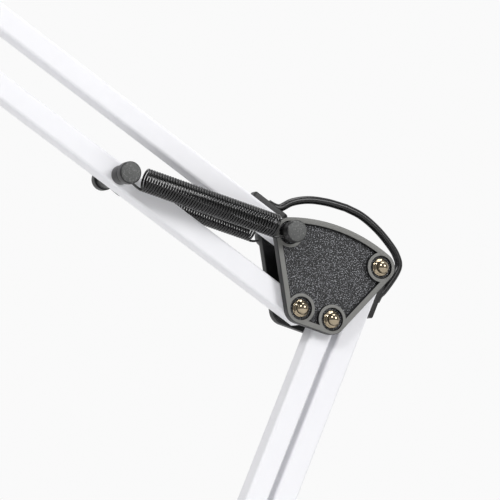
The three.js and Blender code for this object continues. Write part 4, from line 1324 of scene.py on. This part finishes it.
@dataclass(frozen=True)
class Base:
    """The weighted base, its turret and the strain relief."""

    radius: float = 99.5
    height: float = 27.0
    turret_top: float = 62.3
    wall: float = 1.2
    skirt: float = 3.0
    shoulder: float = 6.5
    shoulder_start: float = 15.0
    crown: float = 32.0
    hole: float = 13.35

    def cover(self) -> Surface:
        """The pressed cover: a soft shoulder from an upright edge to a flat top, with a wall.

        The shoulder is a quarter circle.

        Returns:
            The closed wall.
        """
        r, h, w = self.radius, self.height, self.wall
        lift = np.linspace(0, math.pi / 2, 14)
        shoulder = [(r - self.shoulder * (1 - math.cos(t)), self.shoulder_start + self.shoulder * math.sin(t))
                    for t in lift]
        under = [(radius - w, height - w) for radius, height in reversed(shoulder)]
        profile = [(r - w, self.skirt), (r, self.skirt), *shoulder, (self.crown, h), (self.hole, h),
                   (self.hole, h - w), (self.crown - 1, h - w), *under, (r - w, self.skirt)]
        return turned(profile, Axis.Z, sides=192, soft=1.5, closed=True)

    def build(self) -> None:
        """Makes the base's pieces; the weight and nut inside keep their CAD shapes."""
        pad = turned([(0, 0), (97, 0), (98, 1), (98, 2.5), (0, 2.5)], Axis.Z, sides=160)
        settle(make_piece("foot_pad", pad, RUBBER), "base", "base_foot_pad")
        gland_hole = turned(rod(4.7, 88, 103), Axis.Y, (0, Cords.gland_height), sides=40)
        cover = shaped("pressed_cover", self.cover(), [], [gland_hole], WHITE, crease=40)
        settle(cover, "base", "base_cover")
        low, top = self.height + SIZE.gap, self.turret_top
        floor = top - 42
        turret = turned([
            (4.5, 4.5), (13, 4.5), (13, low), (26, low), (26, low + 3), (24.5, low + 4.5), (21, low + 6.5),
            (20, low + 10), (18, top - 1.5), (16.5, top), (9.35, top), (9.35, floor), (4.5, floor),
            (4.5, 4.5),
        ], Axis.Z, sides=112, soft=1.0, closed=True)
        settle(make_piece("turret", turret, MOULDED), "base", "base_socket")
        bush_low, bush_top = top - 40, top + 2.0
        bush = turned([
            (7.35, bush_low), (9.05, bush_low), (9.05, top + 0.3), (13.05, top + 0.3), (13.05, bush_top),
            (7.35, bush_top), (7.35, bush_low),
        ], Axis.Z, sides=80, soft=0.3, closed=True)
        settle(make_piece("swivel_bush", bush, WAXY), "base", "spigot_bush")
        settle(make_piece("strain_relief", self.strain_relief(), MOULDED), "base", "cord_gland")

    def strain_relief(self) -> Surface:
        """A tapered sleeve with shallow ribs: its radius falls along it, less a ripple.

        The ripple is one minus a cosine, halved, six times over, and fades towards the end.

        Returns:
            The turned sleeve.
        """
        outside = self.radius + SIZE.gap
        along = np.linspace(0, 1, 60)
        ripple = 0.35 * (0.5 - 0.5 * np.cos(along * TURN * 6)) * (1 - along)
        taper = [(4.5 - 1.5 * t - dip, outside + 4 + 24 * t) for t, dip in zip(along, ripple)]
        profile = [(0, outside - 6.5), (5.8, outside - 6.5), (5.8, outside - 2.2), (4.3, outside - 2.2),
                   (4.3, outside), (5.8, outside), (5.8, outside + 3), *taper, (0, outside + 28)]
        return turned(profile, Axis.Y, (0, Cords.gland_height), sides=56, soft=0.25)


@dataclass(frozen=True)
class Bracket:
    """The forked bracket that swivels on the base and carries the lower arm."""

    foot: float = 64.6
    ear: float = 9.0
    toe: float = 4.0
    pad: float = 6.5
    web_corner: float = 2.0

    def build(self) -> None:
        """Makes the fork, its bolt and nut and the lower springs' pin."""
        foot, inner, outer = self.foot, SIZE.plate_inner, SIZE.plate_outer
        toes = [((x, foot + self.toe), self.toe) for x in (16.0, -19.0)]
        outline = Outline((toes[0], (tuple(B1), self.ear), (tuple(B2), self.ear), toes[1]))
        cheeks = []
        for side in Side:
            edge = facing(side, [(3, inner), (0, inner), (0, outer), (3, outer)])
            cheeks.append(outline.slab(edge, soft=0.9))
        corners = (14.0, 2), (14.0, 9), (-17.0, 9), (-17.0, 2)
        web_outline = Outline(tuple(((x, foot + up), self.web_corner) for x, up in corners))
        reach = outer - 0.05
        web = web_outline.slab([(1, -reach), (0, -reach), (0, reach), (1, reach)], soft=0.5)
        pads, cuts = [], []
        for centre, shank in ((B1, SpringPin.shank), (B2, Bolt.shank)):
            for side in Side:
                pad = facing(side, rod(self.pad, SIZE.bar_side, inner + 1))
                pads.append(turned(pad, Axis.Y, centre, sides=64))
                seat = facing(side, rod(SIZE.counterbore, SIZE.seat, outer + 2))
                cuts.append(turned(seat, Axis.Y, centre, sides=72))
            bore = rod(shank + SIZE.clearance, -SpringPin.end, SpringPin.end)
            cuts.append(turned(bore, Axis.Y, centre, sides=48))
        cuts.append(turned(rod(7.3, foot - 1, foot + 8), Axis.Z, sides=64))
        cuts.append(turned(rod(3.5, foot, foot + 13), Axis.Z, sides=40))
        fork = shaped("fork", cheeks[0], [cheeks[1], web, *pads], cuts, MOULDED)
        settle(fork, "bracket", "lower_bracket")
        nut = make_piece("fork_cap_nut", CapNut().surface(B2), NICKEL, crease=28)
        settle(nut, "bracket", "bracket_pivot_nut")
        settle(make_piece("fork_bolt", Bolt().surface(B2), ZINC), "bracket", "bracket_pivot_bolt")
        pin = make_piece("fork_pin", SpringPin(SIZE.nut_seat).surface(B1), PIN_BLACK)
        settle(pin, "bracket", "bracket_spring_pin")


# --- Head ---


@dataclass(frozen=True)
class Head:
    """The head bracket, knob, knuckle, neck, shade, holder, bulb and switch."""

    angle: float = 170.0
    neck_distance: float = 50.0
    neck: float = 24.0
    neck_wall: float = 1.8
    half: float = 30.0
    shade_radius: float = 78.0
    shade_depth: float = 110.0
    shade_wall: float = 1.3
    stem: float = 4.5
    switch_hole: float = 5.35
    vents: int = 8
    bead: float = 0.9
    globe: float = 30.0
    globe_height: float = -93.0

    @property
    def neck_place(self) -> Place:
        """The neck's place.

        Returns:
            A place whose Z is the shade's axis, pointing up out of the neck.
        """
        centre = step(TILT, self.neck_distance, self.angle)
        c, s = math.cos(math.radians(self.angle)), math.sin(math.radians(self.angle))
        return Place((centre[0], 0.0, centre[1]), ((c, 0, s), (0, -1, 0), (s, 0, -c)))

    def bracket(self) -> None:
        """The two head plates, both closed pivots, the tilt bolt and the lobed knob."""
        outline = Outline(tuple((tuple(place), SIZE.boss) for place in (H3, H4, TILT)))
        plate = SidePlate("head_side", outline, (Bolt.shank,) * 3)
        for side in Side:
            plate.build(side, "head_bracket", f"head_plate_{side.label}")
        for label, place in (("low", H3), ("high", H4)):
            closed = CapNut().surface(place) + Bolt().surface(place)
            nut = make_piece(f"head_cap_{label}", closed, NICKEL, crease=28)
            settle(nut, "head_bracket", f"head_pivot_{label}")
        settle(make_piece("tilt_screw", Bolt(past=6.0).surface(TILT), ZINC), "head_bracket", "tilt_bolt")
        settle(self.knob(), "tilt_knob", "tilt_knob")

    def knob(self) -> bpy.types.Object:
        """A five-lobed knob: the radius swells by a cosine of five times the angle.

        Returns:
            The knob's piece.
        """
        back = -(SIZE.plate_outer + SIZE.gap)

        def lobed(turn: Array, radius: Array) -> Array:
            """The radius with its lobes, which fade towards the hub."""
            return radius + 2 * np.cos(5 * turn) * np.clip((radius - 7) / 5, 0, 1)

        profile = [(0, back), (8, back), (8, back - 3), (12, back - 3), (12, back - 11), (6, back - 11),
                   (0, back - 10.2)]
        shape = loft(circles(softened(profile, 1.4, steps=6), 120, Axis.Y, lobed))
        return make_piece("lobed_knob", shape.shifted(TILT[0], 0, TILT[1]), MOULDED)

    def knuckle(self) -> None:
        """The tilting lug and the stem that the neck turns on."""
        place = Place.along(tuple(TILT), self.angle)
        half = SIZE.bar / 2
        outline = Outline((((0.0, 0.0), SIZE.boss), ((7.0, 0.0), 6.5)))
        lug = outline.slab([(2, -half), (0, -half), (0, half), (2, half)], soft=0.6)
        stem_end = self.neck_distance - self.neck + 3
        joins = [turned(rod(6.5, 8, 14), Axis.X, sides=64),
                 turned(rod(self.stem, 13, stem_end), Axis.X, sides=48)]
        hole = turned(rod(Bolt.shank + SIZE.clearance, -8, 8), Axis.Y, sides=40)
        made = shaped("tilting_knuckle", place.move(lug), [place.move(j) for j in joins], [place.move(hole)],
                      MOULDED)
        settle(made, "knuckle", "head_knuckle")

    def cap(self) -> None:
        """The neck housing with its side boss and its ring of round-ended vents."""
        top, outer = self.half, self.neck
        inner, hole = outer - self.neck_wall, self.switch_hole
        shell = turned([
            (inner, -top), (outer, -top), (outer, top - 6), (outer - 2, top - 2), (outer - 6, top),
            (hole, top), (hole, top - self.neck_wall), (inner - 4.5, top - self.neck_wall),
            (inner - 1.5, top - 3.4), (inner, top - 7), (inner, -top),
        ], Axis.Z, sides=128, soft=1.2, closed=True)
        boss = turned(rod(9, 14.3 - self.neck_distance, -inner - 0.6), Axis.X, sides=64)
        bore = turned(rod(self.stem + SIZE.clearance, -self.neck_distance, -inner + 4), Axis.X, sides=48)
        cuts = [bore]
        slot = Outline((((0.0, -4.5), 1.5), ((0.0, 12.5), 1.5)))
        for number in range(self.vents):
            turn = TURN * (number + 0.5) / self.vents
            solid = slot.slab([(1, inner - 2), (0, inner - 2), (0, outer + 2), (1, outer + 2)], soft=0.01)
            x, y, z = solid.points[:, 1], solid.points[:, 0], solid.points[:, 2]
            c, s = math.cos(turn), math.sin(turn)
            cuts.append(Surface(np.stack([x * c - y * s, x * s + y * c, z], -1), solid.quads))
        place = self.neck_place
        made = shaped("neck_housing", place.move(shell), [place.move(boss)],
                      [place.move(cut) for cut in cuts], MOULDED)
        settle(made, "head", "shade_cap")

    def shade(self) -> None:
        """The spun bell: its radius grows by half the depth and half the depth's sine."""
        collar = self.neck + SIZE.gap + self.shade_wall
        share = np.linspace(0, 1, 44)
        flare = 0.5 * share + 0.5 * np.sin(share * math.pi / 2)
        radius = collar + (self.shade_radius - collar) * flare
        outer = np.stack([radius, -self.half - self.shade_depth * share], -1)
        outer = np.vstack([[collar, -self.half + 12], outer])
        inner = (outer - [self.shade_wall, 0])[::-1]
        end, low = outer[-1]
        lip = end + self.bead
        bead = [(lip, low + 0.6), (lip, low - 1.2), (end - self.shade_wall, low - 1.2)]
        bell = turned([*outer, *bead, *inner, tuple(outer[0])], Axis.Z, sides=192, soft=0.5, closed=True)
        settle(make_piece("bell_shade", self.neck_place.move(bell), WHITE, crease=40), "head", "shade")

    def light(self) -> None:
        """The holder, the opal bulb and the push button."""
        place = self.neck_place
        holder = turned([
            (0, -8), (13.8, -8), (13.8, -36), (17, -36), (17, 14.5), (21.9, 14.5), (21.9, 16.5), (0, 16.5),
        ], Axis.Z, sides=96, soft=0.6)
        settle(make_piece("bulb_holder", place.move(holder), IVORY), "head", "lamp_holder")
        turn = np.linspace(0, math.radians(140), 36)
        globe = [(self.globe * math.sin(t), self.globe_height - self.globe * math.cos(t)) for t in turn]
        bulb = turned([*globe, (14.5, -50), (13, -44), (13, -12), (0, -12)], Axis.Z, sides=112, soft=1.5)
        settle(make_piece("opal_bulb", place.move(bulb), OPAL, crease=60), "head", "bulb")
        button = turned([
            (0, 23), (6.4, 23), (6.4, 24.5), (5, 24.5), (5, 33), (4, 34), (0, 34.4),
        ], Axis.Z, sides=56, soft=0.5)
        settle(make_piece("push_button", place.move(button), MOULDED), "switch", "switch_button")

    def build(self) -> None:
        """Makes the whole head."""
        self.bracket()
        self.knuckle()
        self.cap()
        self.shade()
        self.light()


# --- Carried-over nodes, studio and camera ---

CARRIED = {
    "base_weight": IRON,
    "base_socket_nut": ZINC,
    "bracket_spigot": ZINC,
    "lower_cord_run": CORD_BLACK,
    "upper_cord_run": CORD_BLACK,
}


def dress_carried_nodes() -> None:
    """Gives the CAD nodes that stay, all of them inside others, their finishes."""
    for name, finish in CARRIED.items():
        piece = frame["nodes"][name]
        piece.data.materials.clear()
        piece.data.materials.append(finish.material())


@dataclass(frozen=True)
class Studio:
    """A pale floor, even light and a long lens on the elbow."""

    yaw: float = 22.99
    pitch: float = 4.06
    distance: float = 1.5
    lens: float = 208.3
    floor_radius: float = 2.0
    backdrop: float = 0.955
    room: float = 0.3
    aim: tuple[float, float] = (-29.07, 29.65)
    sensor: float = 36.0

    def camera(self) -> None:
        """Aims the camera at a point by the elbow's front plate, from the front left."""
        yaw, pitch = math.radians(self.yaw), math.radians(self.pitch)
        forward = Vector((math.sin(yaw) * math.cos(pitch), math.cos(yaw) * math.cos(pitch), math.sin(pitch)))
        aim_x, aim_z = P3 + np.array(self.aim)
        target = Vector((aim_x, -SIZE.plate_outer, aim_z)) * MM
        data = bpy.data.cameras.new("camera")
        data.lens = self.lens
        data.sensor_width = self.sensor
        data.clip_start = 0.01
        made = bpy.data.objects.new("camera", data)
        made.location = target - forward * self.distance
        made.rotation_euler = forward.to_track_quat("-Z", "Y").to_euler()
        bpy.context.collection.objects.link(made)
        bpy.context.scene.camera = made

    def floor(self) -> None:
        """A round pale floor that the base stands on."""
        disc = turned(rod(self.floor_radius / MM, -2, 0), Axis.Z, sides=128, soft=0.1)
        made = make_piece("studio_floor", disc, PAPER)
        del made["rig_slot"]

    def lamp(self, name: str, at: tuple[float, float, float], size: float, watts: float) -> None:
        """A square soft box that faces the elbow.

        Args:
            name: The lamp's name.
            at: Its place in metres.
            size: The length of its side in metres.
            watts: Its power.
        """
        data = bpy.data.lights.new(name, "AREA")
        data.size = size
        data.energy = watts
        made = bpy.data.objects.new(name, data)
        made.location = at
        aim = Vector((P3[0] * MM, 0, P3[1] * MM)) - Vector(at)
        made.rotation_euler = aim.to_track_quat("-Z", "Y").to_euler()
        bpy.context.collection.objects.link(made)

    def world(self) -> None:
        """A white backdrop behind the lamp that falls to a grey room behind the camera.

        The brightness follows the cosine between a direction and the camera's view.
        """
        made = bpy.data.worlds.new("studio")
        made.use_nodes = True
        tree = made.node_tree
        yaw = math.radians(self.yaw)
        direction = node(tree, "TexCoord").outputs["Generated"]
        view = (math.sin(yaw), math.cos(yaw), 0.0)
        ahead = node(tree, "VectorMath", {"operation": "DOT_PRODUCT", 1: view}, {0: direction})
        levels = {"From Min": -0.1, "From Max": 0.85, "To Min": self.room, "To Max": self.backdrop}
        level = node(tree, "MapRange", levels, {"Value": ahead.outputs["Value"]})
        background = tree.nodes["Background"]
        background.inputs["Color"].default_value = (1.0, 1.0, 1.0, 1.0)
        tree.links.new(level.outputs["Result"], background.inputs["Strength"])
        bpy.context.scene.world = made

    def build(self) -> None:
        """Sets the world, the lights, the floor and the colour view."""
        self.world()
        bpy.context.scene.view_settings.view_transform = "Standard"
        self.lamp("front_box", (1.7, -3.3, 1.9), size=1.5, watts=58)
        self.lamp("key", (-2.2, -2.0, 2.8), size=0.9, watts=52)
        self.lamp("top", (0.4, -0.2, 3.4), size=1.5, watts=34)
        self.floor()


def main() -> None:
    """Builds the lamp, the camera and cords first."""
    studio = Studio()
    studio.camera()
    Cords().build()
    Base().build()
    Bracket().build()
    Arm("lower", tuple(B2), tuple(B1), LOWER_ANGLE, float(np.hypot(*(P1 - B1))),
        "lower_bar_left", "lower_bar_right", "lower_left", "lower_right").build()
    Arm("upper", tuple(P3), tuple(P4), UPPER_ANGLE, float(np.hypot(*(H4 - P4))),
        "upper_bar_low", "upper_bar_high", "upper_low", "upper_high").build()
    lower_pin = step(B2, SIZE.spring_reach, LOWER_ANGLE)
    upper_pin = step(P3, SIZE.spring_reach, UPPER_ANGLE)
    Springs("lower", tuple(B1), tuple(lower_pin), ("lower_springs", "lower_spring_ends")).build()
    Springs("upper", tuple(P4), tuple(upper_pin), ("upper_springs", "upper_spring_ends")).build()
    Elbow().build()
    Head().build()
    dress_carried_nodes()
    studio.build()


if __name__ == "__main__":
    main()
